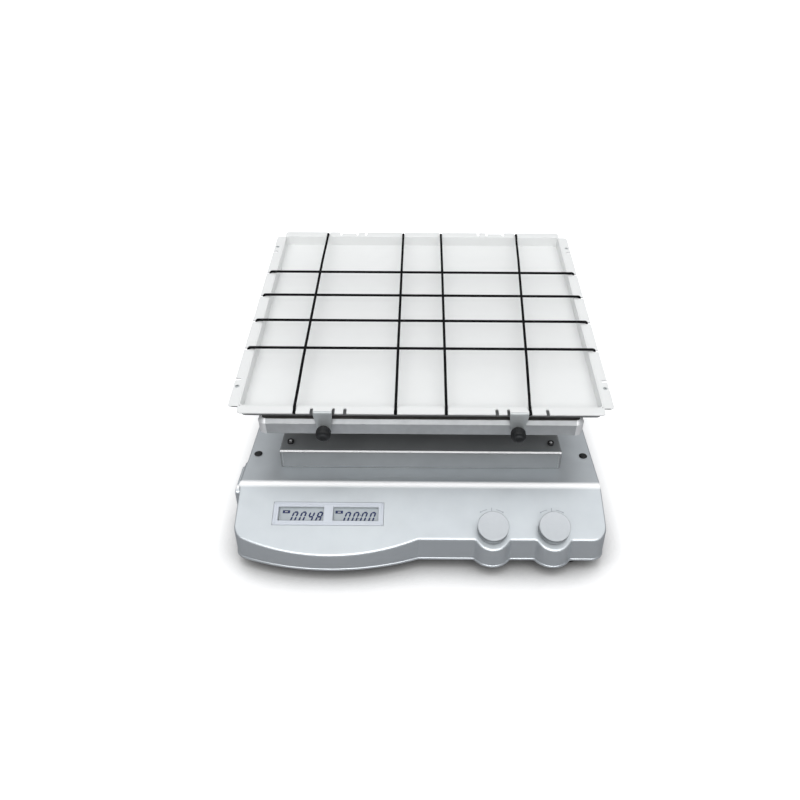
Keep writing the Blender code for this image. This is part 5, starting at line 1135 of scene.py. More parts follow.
@dataclass
class Display:
    """Display surround with two windows, the module behind it and its digits."""

    x: float = -0.0972
    up: float = 0.0277
    half_width: float = 0.05845
    half_height: float = 0.0130
    window: tuple = (0.0478, 0.0155)
    pitch: float = 0.0579
    face: float = -0.0039
    digit: tuple = (0.0060, 0.0121)
    stroke: float = 0.0018
    advance: float = 0.0088
    lean: float = 0.31

    LIT = {"0": "abcdef", "4": "bcfg", "8": "abcdefg"}

    def build(self) -> None:
        """Makes the surround, the module's face and the digits."""
        section = [(0, -0.0036), (0, 0.0001), (0.0004, 0.0005), (0.0019, 0.0005), (0.0020, 0.0002),
                   (0.0023, 0.0002), (0.0024, 0.0004), (0.0030, 0.0004), (0.0030, -0.0036)]
        centre = (self.x, self.up)
        outline = Outline.rectangle(self.half_width, self.half_height, 0.0012, centre, 15)
        rim = outline.carry(section, ring=True)
        surround = add_object("display_bezel", [rim, self.window_frame(-1), self.window_frame(1)], PANEL)
        dress(surround, SURROUND, "base", ("display_frame",), 25)
        # The windows' inner walls are painted dark grey: painted shade.
        repaint(surround, PANEL, METAL_GREY_AND_SHADE, self.is_shaded_reveal)
        outline = Outline.rectangle(0.056, 0.01175, 0.0008, centre, 15)
        module = outline.carry([(0, -0.0089), (0, -0.0042), (0.0003, -0.0039)])
        legs = [
            Outline.circle(0.0015, 16, (self.x + i * 0.052, self.up + j * 0.00775)).prism(-0.0119, -0.0085)
            for i in (-1, 1) for j in (-1, 1)
        ]
        piece("display_panel", [module, *legs], PANEL, GLASS, "base", ("display_module",))
        ink = self.readout(-1, "0048", 0.0116, False) + self.readout(1, "0000", 0.0098, True)
        piece("display_digits", ink, PANEL, INK, "base", crease=20)
        dashes = []
        for sign, start in ((-1, 0.00765), (1, 0.00595)):
            x = self.x + (sign * self.pitch / 2 - self.window[0] / 2 + start)
            dashes.append(block((0.0030, 0.0008, 0.0002), (x, self.bar_up(), self.face + 0.0001)))
        piece("display_dashes", dashes, PANEL, CHALK, "base", crease=20)

    def bar_up(self) -> float:
        """How far up the panel the small mode bars lie."""
        return self.up + self.window[1] / 2 - 0.0043

    def window_frame(self, sign: int) -> Surface:
        """Half of the face round one window: rings of as many points each, joined in turn."""
        half = (self.half_width - 0.0029) / 2
        place = (self.x + sign * self.pitch / 2, self.up)
        middle = (self.x + sign * half, self.up)
        outer = Outline.rectangle(half, self.half_height - 0.0029, 0.0001, middle, 30)
        across, high = self.window[0] / 2, self.window[1] / 2
        flare = Outline.rectangle(across + 0.0005, high + 0.0005, 0.0006, place, 30)
        inner = Outline.rectangle(across, high, 0.0005, place, 30)
        rings = [(outer, -0.0036), (outer, 0.0004), (flare, 0.0004), (inner, -0.0001), (inner, -0.0036)]
        count = len(outer.points)
        levels = [np.column_stack([line.points, np.full(count, z)]) for line, z in rings]
        return joined(np.stack(levels), ring=True)

    def is_shaded_reveal(self, middle: np.ndarray, normal: np.ndarray) -> np.ndarray:
        """The inner walls of the windows, painted dark grey as shade."""
        away = np.abs(middle[:, :2] - (self.x, self.up))
        within = (away[:, 0] < self.half_width - 0.0031) & (away[:, 1] < self.half_height - 0.0031)
        return within & (middle[:, 2] < 0.0)

    def readout(self, sign: int, text: str, start: float, colon: bool) -> list:
        """Digits and the small mode bar of one window.

        Args:
            sign: Which window, -1 for the left.
            text: The figures.
            start: Where the first figure starts, from the window's left edge.
            colon: Whether two dots part the figures.

        Returns:
            Thin closed surfaces.
        """
        left = self.x + sign * self.pitch / 2 - self.window[0] / 2
        foot = self.up - self.window[1] / 2 - 0.0003
        made = []
        for place, figure in enumerate(text):
            made += self.figure(left + start + place * self.advance, foot, self.LIT[figure])
        if colon:
            for height in (0.0038, 0.0078):
                x = left + start + 2 * self.advance - 0.0019 + height * self.lean
                low, high = foot + height, foot + height + 0.001
                made.append(self.leaning([(x, low), (x + 0.001, low), (x + 0.001, high), (x, high)], 0, 0))
        bar = left + (0.0037 if sign < 0 else 0.0020) + 0.00395
        made.append(block((0.0079, 0.0034, 0.0002), (bar, self.bar_up(), self.face)))
        return made

    def figure(self, x: float, foot: float, lit: str) -> list:
        """The lit bars of a seven-bar figure, each a six-sided plate sheared by the lean."""
        width, height = self.digit
        half, gap = self.stroke / 2, 0.0001
        middle, sides = height / 2, (half, height / 2, height - half)
        bars = {}
        near, far = 2 * half + gap, width - 2 * half - gap
        for name, level in (("d", sides[0]), ("g", middle), ("a", sides[2])):
            bars[name] = [(half + gap, level), (near, level - half), (far, level - half),
                          (width - half - gap, level), (far, level + half), (near, level + half)]
        upright = (("e", half, sides[0], middle), ("f", half, middle, sides[2]),
                   ("c", width - half, sides[0], middle), ("b", width - half, middle, sides[2]))
        for name, at, low, high in upright:
            low, high = low + gap, high - gap
            bars[name] = [(at, low), (at + half, low + half), (at + half, high - half),
                          (at, high), (at - half, high - half), (at - half, low + half)]
        return [self.leaning(bars[name], x, foot) for name in lit]

    def leaning(self, corners: list, x: float, foot: float) -> Surface:
        """A thin plate on the module's face, its corners moved right by lean times height."""
        points = np.array(corners)
        if foot:
            points = np.stack([x + points[:, 0] + points[:, 1] * self.lean, foot + points[:, 1]], axis=1)
        return Outline.through(points).prism(self.face - 0.0001, self.face + 0.0001)


@dataclass
class Knob:
    """A push-and-turn knob with its shaft, and the marks above it."""

    name: str
    x: float
    up: float = Housing.nose_up
    radius: float = 0.0163
    top: float = 0.0116
    low: float = 0.0012

    @property
    def place(self) -> Matrix:
        """The knob's own frame on the panel."""
        return PANEL @ move(self.x, self.up, 0)

    def build(self) -> None:
        """Makes the knob's side, its face and the marks."""
        rim, top, low = self.radius, self.top, self.low
        side = [(0, 0.0093), (0.0138, 0.0093), (rim - 0.0010, top - 0.0012), (rim - 0.0002, top - 0.0016),
                (rim, top - 0.0022), (rim - 0.0003, low + 0.0005), (rim - 0.0008, low), (0.0052, low),
                (0.0033, low + 0.0008), (0.0033, 0.0085), (0, 0.0085)]
        steps, flutes = 288, 72
        ripple = np.ones((len(side), steps))
        ripple[4:6] += 0.007 * np.cos(spokes(steps) * flutes)
        body = add_object(f"{self.name}_knob_side", [turned(side, steps, ripple)], self.place)
        # The side is painted darker than the face: painted shade.
        dress(body, SHADED_KNOB_SIDE, f"{self.name}_dial", (f"{self.name}_knob",))
        face = [(0, top - 0.0003), (rim - 0.0022, top - 0.0003), (rim - 0.0016, top - 0.0001),
                (rim - 0.0011, top), (rim - 0.0005, top - 0.0002), (rim, top - 0.0008),
                (rim, top - 0.0016), (rim - 0.002, top - 0.0018), (0, top - 0.0018)]
        piece(f"{self.name}_knob_face", [turned(face, 96)], self.place, KNOB_FACE, f"{self.name}_dial")
        marks = [block((0.0007, 0.0062, 0.00016), (0, 0.0215, 0))]
        marks += [self.arrow(sign) for sign in (-1, 1)]
        piece(f"{self.name}_marks", marks, self.place, PRINT, "base")

    @staticmethod
    def arrow(sign: int) -> Surface:
        """A printed arc round the knob from 12 to 34 degrees off the middle, with an arrow's head."""
        turns = sweep(12, 30, 10)
        rows = [np.stack([np.sin(turns), np.cos(turns)], axis=1) * radius for radius in (0.0232, 0.0226)]
        head = np.radians(np.array((30, 34, 30)))
        tip = np.stack([np.sin(head), np.cos(head)], axis=1) * np.array((0.0240, 0.0229, 0.0218))[:, None]
        points = np.concatenate([rows[0], tip, rows[1][::-1]]) * (sign, 1)
        return Outline.through(points[::sign]).prism(-0.00008, 0.00008)


@dataclass
class Switch:
    """Rocker switch on the left side."""

    face: float = -0.1957
    length: float = 0.030
    height: float = 0.022
    depth: float = 0.022
    tilt: float = math.radians(8)

    def build(self) -> None:
        """Makes the switch body and its rocker with two marks."""
        sideways = AXIS @ move(self.face, SWITCH_Y, SWITCH_Z) @ TO_LEFT
        outline = Outline.rectangle(self.length / 2, self.height / 2, 0.0015, step=15)
        profile = [(0, -self.depth), (0, 0.0004), (0.0004, 0.0009), (0.0013, 0.0009), (0.0020, 0.0002),
                   (0.0022, -0.0006), (0.0022, -0.0105)]
        piece("switch_body", [outline.carry(profile)], sideways, BLACK, "base", ("switch_housing",))
        guard = Outline.rectangle(0.0225, 0.0185, 0.0045, (0.0036, 0.0040), 10)
        section = [(0, -0.003), (0, 0.0040), (0.0005, 0.0048), (0.0012, 0.0052), (0.0024, 0.0052),
                   (0.0030, 0.0046), (0.0035, -0.0002), (0.0035, -0.003)]
        piece("switch_guard", [guard.carry(section, ring=True)], sideways, SILVER, "base", even=True)
        self.rocker()

    def rocker(self) -> None:
        """The rocker: its face dips to a valley, height = valley + (tip - valley) |s|, and it is tilted."""
        half, thick = 0.0120, 0.0084
        s = np.linspace(-1, 1, 33)
        t = np.linspace(-1, 1, 17)
        grid_s, grid_t = np.meshgrid(s, t, indexing="ij")
        rim = np.maximum(np.abs(grid_s), np.abs(grid_t)) ** 10
        out = 0.0016 + 0.0016 * np.sqrt(grid_s**2 + 0.01) - 0.0006 * rim
        top = np.stack([-out, grid_s * half, grid_t * thick], axis=2)
        keel = 0.0015 + 0.0015 * (1 - smooth(np.abs(grid_s) * 1.2))
        low = np.stack([keel, grid_s * (half - 0.0008), grid_t * thick], axis=2)
        points = np.concatenate([top.reshape(-1, 3), low.reshape(-1, 3)])
        count = len(s) * len(t)
        index = np.arange(count).reshape(len(s), len(t))
        border = np.concatenate([index[:, 0], index[-1, 1:], index[-2::-1, -1], index[0, -2:0:-1]])
        after = np.roll(border, -1)
        faces = quads(len(s), len(t), wrap=False)
        faces = faces.tolist() + (faces + count).tolist()
        faces += np.stack([border, after, after + count, border + count], axis=1).tolist()
        pivot = move(self.face + 0.0056, SWITCH_Y, SWITCH_Z)
        place = AXIS @ pivot @ Matrix.Rotation(self.tilt, 4, "Z")
        rocker = add_object("switch_rocker", [Surface(points, faces)], place)
        dress(rocker, BLACK, "rocker", ("power_rocker",), 40)
        section = [(0.0021, 0.0001), (0.0015, 0.0001), (0.0015, -0.0001), (0.0021, -0.0001)]
        ring = turned(section, 40, ring=True)
        lean = math.atan2(0.0016, half)
        off, on = (
            move(-0.0026, sign * 0.0068, 0) @ Matrix.Rotation(sign * lean, 4, "Z") @ TO_LEFT
            for sign in (-1, 1)
        )
        marks = [ring.moved(off), block((0.0006, 0.0042, 0.0002)).moved(on)]
        piece("switch_marks", marks, place, CHALK, "rocker")


@dataclass
class Inlet:
    """Appliance inlet in the rear wall."""

    width: float = 0.027
    height: float = 0.0195

    def build(self) -> None:
        """Makes the inlet: a flanged shell with a keyed socket and three pins."""
        place = AXIS @ move(INLET_X, Housing.rear, INLET_Z) @ TO_REAR
        w, h = self.width / 2, self.height / 2
        flange = Outline.rectangle(w + 0.0022, h + 0.0022, 0.003, step=15)
        body = add_object("inlet_body", [flange.carry([(0, GAP), (0, 0.0018), (0.0005, 0.0023)])], place)
        shell = Outline.rectangle(w, h, 0.001, step=30)
        combine(body, [shell.carry([(0, -0.026), (0, 0.001)])], place, "UNION")
        key = [(-w + 0.0018, -h + 0.0018), (w - 0.0018, -h + 0.0018), (w - 0.0018, h - 0.0055),
               (w - 0.0060, h - 0.0018), (-w + 0.0060, h - 0.0018), (-w + 0.0018, h - 0.0055)]
        combine(body, [Outline.rounded([(*c, 0.001) for c in key], 30).prism(-0.0137, 0.004)], place)
        dress(body, BLACK, "base", ("power_inlet",), 30, even=True)
        pins = []
        for across, up in ((-0.007, -0.002), (0, 0.002), (0.007, -0.002)):
            pin = Outline.rectangle(0.001, 0.002, 0.0004, (across, up), 30)
            pins.append(pin.carry([(0, -0.0145), (0, -0.0016), (0.0006, -0.0004)]))
        piece("inlet_pins", pins, place, STEEL, "base")


# ---------------------------------------------------------------- the drive


@dataclass
class WobbleDrive:
    """Bearing tower, hub with the leaning journal, its bearing and retainer, and the ball guide."""

    def build(self) -> None:
        """Makes each turned piece on its own axis and dresses the pieces inside the housing."""
        self.tower()
        self.hub()
        self.bearing("wobble_race", "wobble_bearing", "platform", LEAN, 0.0103, 0.0235, -0.007, 0.014)
        self.bearing("upper_race", "upper_shaft_bearing", "base", AXIS, 0.0088, 0.020, 0.0852, 0.012)
        self.guide_post()
        paint_nodes(("lower_shaft_bearing", "drive_shaft", "motor_shaft", "speed_shaft", "time_shaft"), STEEL)
        paint_nodes(("drive_pulley", "motor_pulley", "motor_bracket"), CAST)
        paint_nodes(("motor", "speed_encoder", "time_encoder", "speed_plunger", "time_plunger"), BLACK)
        paint_nodes(("drive_belt",), RUBBER)
        paint_nodes(("control_board", "power_board"), BOARD)

    def tower(self) -> None:
        """Cast tower: a bored barrel with a broad flange, filleted, under six screw heads."""
        fillet = arc((0.036, DECK + 0.0138), 0.006, 180, 270, 6)
        profile = [(0.0294, 0.0975), (0.030, 0.0969), *fillet, (0.0592, DECK + 0.0078),
                   (0.060, DECK + 0.0070), (0.060, DECK + GAP), (0.030, DECK + GAP), (0.030, 0.042),
                   (0.0203, 0.042), (0.0203, 0.0546),
                   (0.016, 0.0546), (0.016, 0.0849), (0.0203, 0.0849), (0.0203, 0.0971), (0.0207, 0.0975)]
        tower = add_object("cast_tower", [turned(profile, 96, ring=True)], AXIS)
        dress(tower, CAST, "base", ("bearing_tower",), 35)
        heads = []
        for index in range(6):
            angle = math.radians(30 + 60 * index)
            place = move(0.050 * math.cos(angle), 0.050 * math.sin(angle), DECK + 0.0078)
            heads.append(Pedestal.screw().moved(place @ Matrix.Scale(0.85, 4)))
        piece("tower_screws", heads, AXIS, STEEL, "base")

    def hub(self) -> None:
        """Hub on the shaft, and the journal on the leaning axis."""
        disc = [(0, 0.1140), (0.0262, 0.1140), (0.0272, 0.1136), (0.028, 0.1127), (0.028, 0.1082),
                (0.0274, 0.1078), (0.0274, 0.1062), (0.028, 0.1058), (0.028, 0.1009), (0.0270, 0.0999),
                (0.0262, 0.0995), (0.0090, 0.0995), (0.0088, 0.0998), (0.0088, 0.1105), (0, 0.1105)]
        hub = add_object("eccentric_hub", [turned(disc, 96)], AXIS)
        journal = [(0, 0.007), (0.0095, 0.007), (0.010, 0.0065), (0.010, -0.0073), (0.0126, -0.0073),
                   (0.013, -0.0077), (0.013, -0.0285), (0, -0.0285)]
        combine(hub, [turned(journal, 72)], LEAN, "UNION")
        dress(hub, STEEL, "drive", ("wobble_hub",), 30, even=True)
        cap = [(0, 0.0136), (0.0019, 0.0136), (0.0019, 0.0147), (0.0024, 0.0148), (0.0045, 0.0148),
               (0.005, 0.0143), (0.005, 0.0098), (0.0120, 0.0098), (0.0125, 0.0093), (0.0125, 0.0073),
               (0, 0.0073)]
        piece("journal_cap", [turned(cap, 60)], LEAN, STEEL, "drive", ("journal_retainer",))

    def bearing(
        self, name: str, node: str, body: str, place: Matrix, inner: float, outer: float, low: float,
        width: float
    ) -> None:
        """A ball bearing: two chamfered races with a sunk shield at each end.

        Args:
            name: The piece.
            node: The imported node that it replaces.
            body: The body that it rides on.
            place: Its axis.
            inner: Bore radius.
            outer: Outside radius.
            low: Height of its lower face.
            width: Width.
        """
        high, step, sunk = low + width, 0.0004, 0.0006
        race = (outer - inner) * 0.28
        near, far = inner + race, outer - race
        profile = [(near, high - sunk), (far, high - sunk), (far, high), (outer - step, high),
                   (outer, high - step), (outer, low + step), (outer - step, low), (far, low),
                   (far, low + sunk), (near, low + sunk), (near, low), (inner + step, low),
                   (inner, low + step), (inner, high - step), (inner + step, high), (near, high)]
        piece(name, [turned(profile, 72, ring=True)], place, STEEL, body, (node,))

    def guide_post(self) -> None:
        """Ball-ended post: a hexagonal foot, a neck and a ball."""
        low, ball = 0.0898, 0.008
        profile = dome(ball, WOBBLE_HEIGHT, ball, 20, math.radians(148))
        profile += [(0.0040, 0.131), (0.0040, 0.0955), (0.0052, 0.0942), (0.0100, 0.0942), (0.0110, 0.0934),
                    (0.0110, 0.0904), (0.0104, low), (0, low)]
        steps = 60
        ripple = np.ones((len(profile), steps))
        ripple[-5:-1] = np.minimum(hexagon(steps) * 1.04, 1)
        place = AXIS @ move(0, GUIDE_REACH, 0)
        post = add_object("ball_post", [turned(profile, steps, ripple)], place)
        dress(post, STEEL, "base", ("guide_post",), 35)


@dataclass
class Carrier:
    """Cast cup and cross arms under the platform, with the guide's fork."""

    top: float = 0.0324
    cup: float = 0.0313
    seat: float = 0.0238
    flange: float = 0.070
    arm_length: float = 0.125
    arm_width: float = 0.013
    arm_depth: float = 0.0060

    def build(self) -> None:
        """Makes the carrier and the fork."""
        profile = [(0, self.top), (0.0694, self.top), (self.flange, self.top - 0.0006), (self.flange, 0.0285),
                   (0.069, 0.0278), (0.045, 0.0232), *arc((self.cup + 0.006, 0.0135), 0.006, 100, 180, 6),
                   (self.cup, -0.0064), (self.cup - 0.0006, -0.007), (self.seat, -0.007), (self.seat, 0.0073),
                   (0.0183, 0.0073), (0.0183, 0.0198), (0, 0.0198)]
        carrier = add_object("cast_carrier", [turned(profile, 96)], LEAN)
        low = self.top - self.arm_depth
        arm = Outline.rectangle(self.arm_length, self.arm_width, 0.005, step=15)
        solid = arm.carry([(0.0006, low), (0, low + 0.0006), (0, self.top)])
        for turn in (0, math.pi / 2):
            combine(carrier, [solid.moved(Matrix.Rotation(turn, 4, "Z"))], LEAN, "UNION")
        dress(carrier, CAST, "platform", ("platform_carrier",), 30, even=True)
        heads = []
        upside_down = Matrix.Rotation(math.pi, 4, "X")
        for index in range(4):
            turn = Matrix.Rotation(index * math.pi / 2, 4, "Z")
            for reach in (0.115,) if index == 1 else (0.092, 0.115):
                heads.append(self.pan_head().moved(turn @ move(reach, 0, low) @ upside_down))
        piece("carrier_screws", heads, LEAN, STEEL, "platform")
        self.fork()

    @staticmethod
    def pan_head() -> Surface:
        """Low domed screw head."""
        return turned([*dome(0.0040, 0.0005, 0.0017, 7), (0.0040, 0.0), (0, 0)], 32)

    def fork(self) -> None:
        """Hardened fork whose two prongs pass each side of the ball."""
        slot, outer, reach, top = 0.0088, 0.0180, 0.0217, 0.0261
        tip = 0.0030
        corners = [(-outer, top, 0), (-outer, -reach, tip), (-slot, -reach, tip), (-slot, reach, slot * 0.6),
                   (slot, reach, slot * 0.6), (slot, -reach, tip), (outer, -reach, tip), (outer, top, 0)]
        outline = Outline.rounded(corners, 12)
        prongs = outline.carry([(0.0005, -0.004), (0, -0.0035), (0, 0.0035), (0.0005, 0.004)])
        place = LEAN @ move(0, GUIDE_REACH, 0)
        fork = add_object("guide_prongs", [prongs], place @ ALONG_Y)
        plate = Outline.rectangle(outer, 0.011, 0.002, step=15).carry([(0, top - 0.004), (0, top)])
        combine(fork, [plate], place, "UNION")
        dress(fork, STEEL, "platform", ("guide_fork",), 30, even=True)


# ---------------------------------------------------------------- what leans


@dataclass
class Platform:
    """Brushed sheet platform with its rim bent down all round."""

    half_width: float = 0.1685
    half_depth: float = 0.1760
    top: float = 0.0347
    rim: float = 0.0180
    bend: float = 0.0038
    sheet: float = 0.0020
    corner: float = 0.0080

    def build(self) -> None:
        """Carries the rim's section round the plan and sets the corner guards."""
        low = self.top - self.rim
        outer = Outline.rectangle(self.half_width, self.half_depth, self.corner, step=9)
        profile = [(self.sheet, low), (0.0004, low), (0, low + 0.0004), *self.edge(0)]
        under = [(inset + self.sheet, height - self.sheet * 0.7) for inset, height in self.edge(0)]
        body = outer.carry(profile)
        core = outer.carry([(self.sheet, low - 0.004), *under])
        platform = add_object("platform_sheet", [body], LEAN)
        combine(platform, [core], LEAN)
        dress(platform, BRUSHED, "platform", ("platform",), 30, even=True)
        # The flat top and underside are painted near black: painted shade under the tray.
        repaint(platform, LEAN, SHADE_PLATE, lambda middle, normal: np.abs(normal[:, 2]) > 0.97)
        guards = [self.guard(x, y) for x, y in CORNERS]
        piece("platform_corners", guards, LEAN, GUARD, "platform", crease=40)

    def edge(self, out: float) -> list:
        """Side, bevel and top in (inset, height), with the two bends rounded, moved outward by `out`."""
        soft, slope = 0.0012, math.radians(45)
        line = []
        step = soft * math.tan(slope / 2)
        bends = ((0, self.top - self.bend, 0, slope), (self.bend, self.top, slope, math.pi / 2))
        for inset, height, first, last in bends:
            centre = (inset + soft, height - step) if first == 0 else (inset + step, height - soft)
            for angle in np.linspace(first, last, 5):
                reach = soft + out
                line.append((centre[0] - reach * math.cos(angle), centre[1] + reach * math.sin(angle)))
        return line

    def guard(self, x: int, y: int) -> Surface:
        """A rounded corner strip: its section follows the edge and is swept round the corner.

        Args:
            x: -1 for the left.
            y: -1 for the front.

        Returns:
            A closed surface.
        """
        low = self.top - self.rim - 0.0002
        front, back = self.edge(0.0004)[:-1], self.edge(-0.0008)[:-1]
        insets = [(0.0008, low), (0.0002, low), (-0.0004, low + 0.0006), *front, *back[::-1]]
        section = [(self.corner - inset, height) for inset, height in insets]
        turns = sweep(-2, 92, 13)[:, None]
        radius, height = np.array(section).T
        level = np.broadcast_to(height, (len(turns), len(height)))
        grid = np.stack([np.cos(turns) * radius, np.sin(turns) * radius, level], axis=2)
        grid += (self.half_width - self.corner, self.half_depth - self.corner, 0)
        return joined(grid * (x, y, 1))


@dataclass
class Tray:
    """White sheet tray: a pan with four bent flanges, slots and four clamp tabs."""

    depth: float = 0.0135
    sheet: float = 0.0015
    bend: float = 0.0008
    corner: float = 0.0040
    tab_half: float = 0.0095
    tab_end: float = 0.0070
    drop: float = 0.0235

    def pan(self) -> Surface:
        """Floor and walls: both sides of the sheet carried round the plan."""
        floor, rim = TRAY_TOP - self.depth, TRAY_TOP - self.bend * 0.6
        outline = Outline.rectangle(WALL_X, WALL_Y, self.corner, step=9)
        inside, under = 0.0010, 0.0025
        turns = sweep(0, 90, 7)
        below, out = floor - self.sheet, under - self.sheet
        low = [(out - under * math.sin(a), below + under * (1 - math.cos(a))) for a in turns]
        high = [(inside - inside * math.sin(a), floor + inside * (1 - math.cos(a))) for a in turns[::-1]]
        return outline.carry([*low, (-self.sheet, rim), (0, rim), *high])

    def flange(self, inner: float, outer: float, first: float, last: float) -> Surface:
        """One flange as a strip: the bent section at each place s along the side.

        The section goes up the wall, round the bend and out to edge(s), which falls away by a circle's
        arc at both ends so that the corners are round.

        Args:
            inner: Distance of the wall's inner face from the middle.
            outer: Distance of the flange's edge.
            first: Where it starts along the side.
            last: Where it ends.

        Returns:
            A closed surface with (out, along, height) points.
        """
        ends = self.corner * (1 - np.cos(sweep(0, 90, 9)))
        between = np.linspace(first + self.corner, last - self.corner, 40)[1:-1]
        along = np.concatenate([first + ends, between, last - ends[::-1]])
        near = np.minimum(along - first, last - along).clip(0, self.corner)
        edge = outer - self.corner + np.sqrt(self.corner**2 - (self.corner - near) ** 2)
        turns = sweep(0, 90, 7)
        big, small = self.bend + self.sheet, self.bend
        low = TRAY_TOP - self.sheet
        over = [(inner, TRAY_TOP - 2 * big)]
        over += [(inner + big * (1 - math.cos(a)), TRAY_TOP - big + big * math.sin(a)) for a in turns]
        out, high = inner + big, TRAY_TOP - big
        under = [(out - small * math.cos(a), high + small * math.sin(a)) for a in turns[::-1]]
        under.append((inner + self.sheet, TRAY_TOP - 2 * big))
        lip = 0.0002
        outermost = np.maximum(edge, under[0][0] + lip)
        section = over + [
            (np.maximum(edge - lip, over[-1][0]), TRAY_TOP), (outermost, TRAY_TOP - lip),
            (outermost, low + lip), (np.maximum(edge - lip, under[0][0]), low),
        ] + under
        rows = [
            np.stack([np.broadcast_to(out, along.shape), along, np.full_like(along, height)], axis=1)
            for out, height in section
        ]
        return joined(np.stack(rows).transpose(1, 0, 2))

    def flanges(self) -> list:
        """The four flanges: the two side ones run forward past the corners."""
        right = self.flange(WALL_X, TRAY_X, -0.1702, 0.1672)
        front = self.flange(WALL_Y, TRAY_Y, -0.1866, 0.1866)
        left = Surface(right.points * (-1, 1, 1), right.faces)
        rear = Surface(front.points[:, [1, 0, 2]], front.faces)
        front = Surface(front.points[:, [1, 0, 2]] * (1, -1, 1), front.faces)
        return [right, left, front, rear]

    def tab(self, x: float, sign: int) -> Surface:
        """A tab: the flange's sheet bent down, with half-width(s) narrowing to a round end.

        Args:
            x: Its middle.
            sign: -1 for the front, 1 for the rear.

        Returns:
            A closed surface.
        """
        radius, face = 0.003, TAB_FACE
        foot = TRAY_TOP - self.drop - self.tab_end
        start, centre = 0.1710, np.array((face - radius, TRAY_TOP - radius))
        turns = sweep(0, 90, 9)
        bend = np.stack([np.sin(turns), np.cos(turns)], axis=1)
        straight = np.linspace(TRAY_TOP - 0.006, foot + self.tab_end, 6)
        round_end = foot + self.tab_end * (1 - np.sin(sweep(8, 90, 12)))
        levels = np.concatenate([straight, round_end])
        outside, inside = (
            np.concatenate([
                [(start, TRAY_TOP - thick)], centre + (radius - thick) * bend,
                np.column_stack([np.full(len(levels), face - thick), levels]),
            ])
            for thick in (0, self.sheet)
        )
        down = TRAY_TOP - outside[:, 1]
        taper = np.clip((down - 0.006) / (self.drop - 0.006), 0, 1)
        half = self.tab_half + (self.tab_end - self.tab_half) * taper
        into = np.clip((foot + self.tab_end - outside[:, 1]) / self.tab_end, 0, 1)
        half = half * np.sqrt(np.maximum(1 - (into * 0.985) ** 4, 0.02))
        across = np.linspace(-1, 1, 7)
        rows = []
        for sheet in (outside, inside):
            width = half[:, None] * across[None]
            out = np.broadcast_to(sheet[:, :1], width.shape)
            up = np.broadcast_to(sheet[:, 1:], width.shape)
            rows.append(np.stack([x + width, sign * out, up], axis=2))
        return joined(np.concatenate([rows[0], rows[1][:, ::-1]], axis=1))

    def tools(self) -> list:
        """Tools for the cord slots with round ends, the notches beside the tabs and the small holes."""
        lines, width = [], 0.0017
        for share in (-2.5, -1.5, -0.5, 0.5, 1.5, 2.5):
            for sign in (-1, 1):
                for reach, depth, turn in ((TRAY_Y, SLOT_Y, 1), (TRAY_X, SLOT_X, -1)):
                    inner, outer = reach - depth, reach + 0.004
                    size = (width, (outer - inner) / 2)[::turn]
                    middle = (share * SLOT_PITCH, sign * (inner + outer) / 2)[::turn]
                    lines.append(Outline.rectangle(*size, width * 0.98, middle, 15))
        for (x, y), hole in zip(CORNERS, self.holes()):
            lines.append(Outline.circle(0.0015, 24, hole))
            for side in (-1, 1):
                spot = (x * TAB_X + side * (self.tab_half + 0.0016), y * (TRAY_Y - 0.002))
                lines.append(Outline.rectangle(0.0016, 0.006, 0.0015, spot, 15))
        return self.upright(lines)

    @staticmethod
    def holes() -> list:
        """Middles of the small holes near the ends of the side flanges."""
        return [(x * (TRAY_X - 0.0042), y * (2.5 * SLOT_PITCH + 0.0115)) for x, y in CORNERS]

    @staticmethod
    def upright(lines: list) -> list:
        """Tools that pass through the flanges along outlines."""
        return [line.prism(TRAY_TOP - 0.0045, TRAY_TOP + 0.004) for line in lines]

    def build(self) -> None:
        """Joins the pan, the flanges and the tabs, and cuts the openings."""
        tray = add_object("tray_sheet", [self.pan()], LEAN)
        combine(tray, self.flanges(), LEAN, "UNION")
        combine(tray, self.tools(), LEAN)
        middles = [(x * TAB_X, y * (TRAY_Y + 0.0012)) for x, y in CORNERS]
        gaps = [Outline.rectangle(self.tab_half + 0.0014, 0.0042, 0.0003, spot, 45) for spot in middles]
        combine(tray, self.upright(gaps), LEAN)
        combine(tray, [self.tab(x * TAB_X, y) for x, y in CORNERS], LEAN, "UNION")
        hole = Outline.circle(0.0028, 28).prism(-0.01, 0.01).moved(ALONG_Y)
        places = [move(x * TAB_X, y * TAB_FACE, TRAY_TOP - self.drop) for x, y in CORNERS]
        combine(tray, [hole.moved(place) for place in places], LEAN)
        dress(tray, WHITE, "platform", ("tray",), 30, even=True)
        section = ((0.0011, 0.0006), (0.0017, 0.0004), (0.0023, 0.0001), (0.0023, -0.0018),
                   (0.0011, -0.0018))
        ring = turned(section, 28, ring=True)
        eyelets = [ring.moved(move(*middle, TRAY_TOP)) for middle in self.holes()]
        piece("tray_eyelets", eyelets, LEAN, METAL_GREY_AND_SHADE, "platform")
        # The tray's outer walls and underside are painted dark grey as shade.
        repaint(tray, LEAN, SHADE_UNDERSIDE, self.is_shaded_under)
        # The tabs' upright faces are painted grey: painted shade on the white sheet.
        repaint(tray, LEAN, METAL_GREY_AND_SHADE, self.is_shaded_tab)

    def is_shaded_under(self, middle: np.ndarray, normal: np.ndarray) -> np.ndarray:
        """Faces under the floor, outside the walls and under the flanges: painted shade, dark grey on the
        white sheet.
        """
        outward = (middle[:, :2] * normal[:, :2]).sum(axis=1) > 0.01
        low = middle[:, 2] < TRAY_TOP - 0.00145
        return (outward & low & (normal[:, 2] < 0.3)) | ((normal[:, 2] < -0.2) & low)

    def is_shaded_tab(self, middle: np.ndarray, normal: np.ndarray) -> np.ndarray:
        """The upright faces of the tabs, painted grey as shade."""
        beside = np.abs(np.abs(middle[:, 0]) - TAB_X) < self.tab_half + 0.0003
        return beside & (np.abs(middle[:, 1]) > TAB_FACE - 0.0030) & (middle[:, 2] < TRAY_TOP - 0.00001)


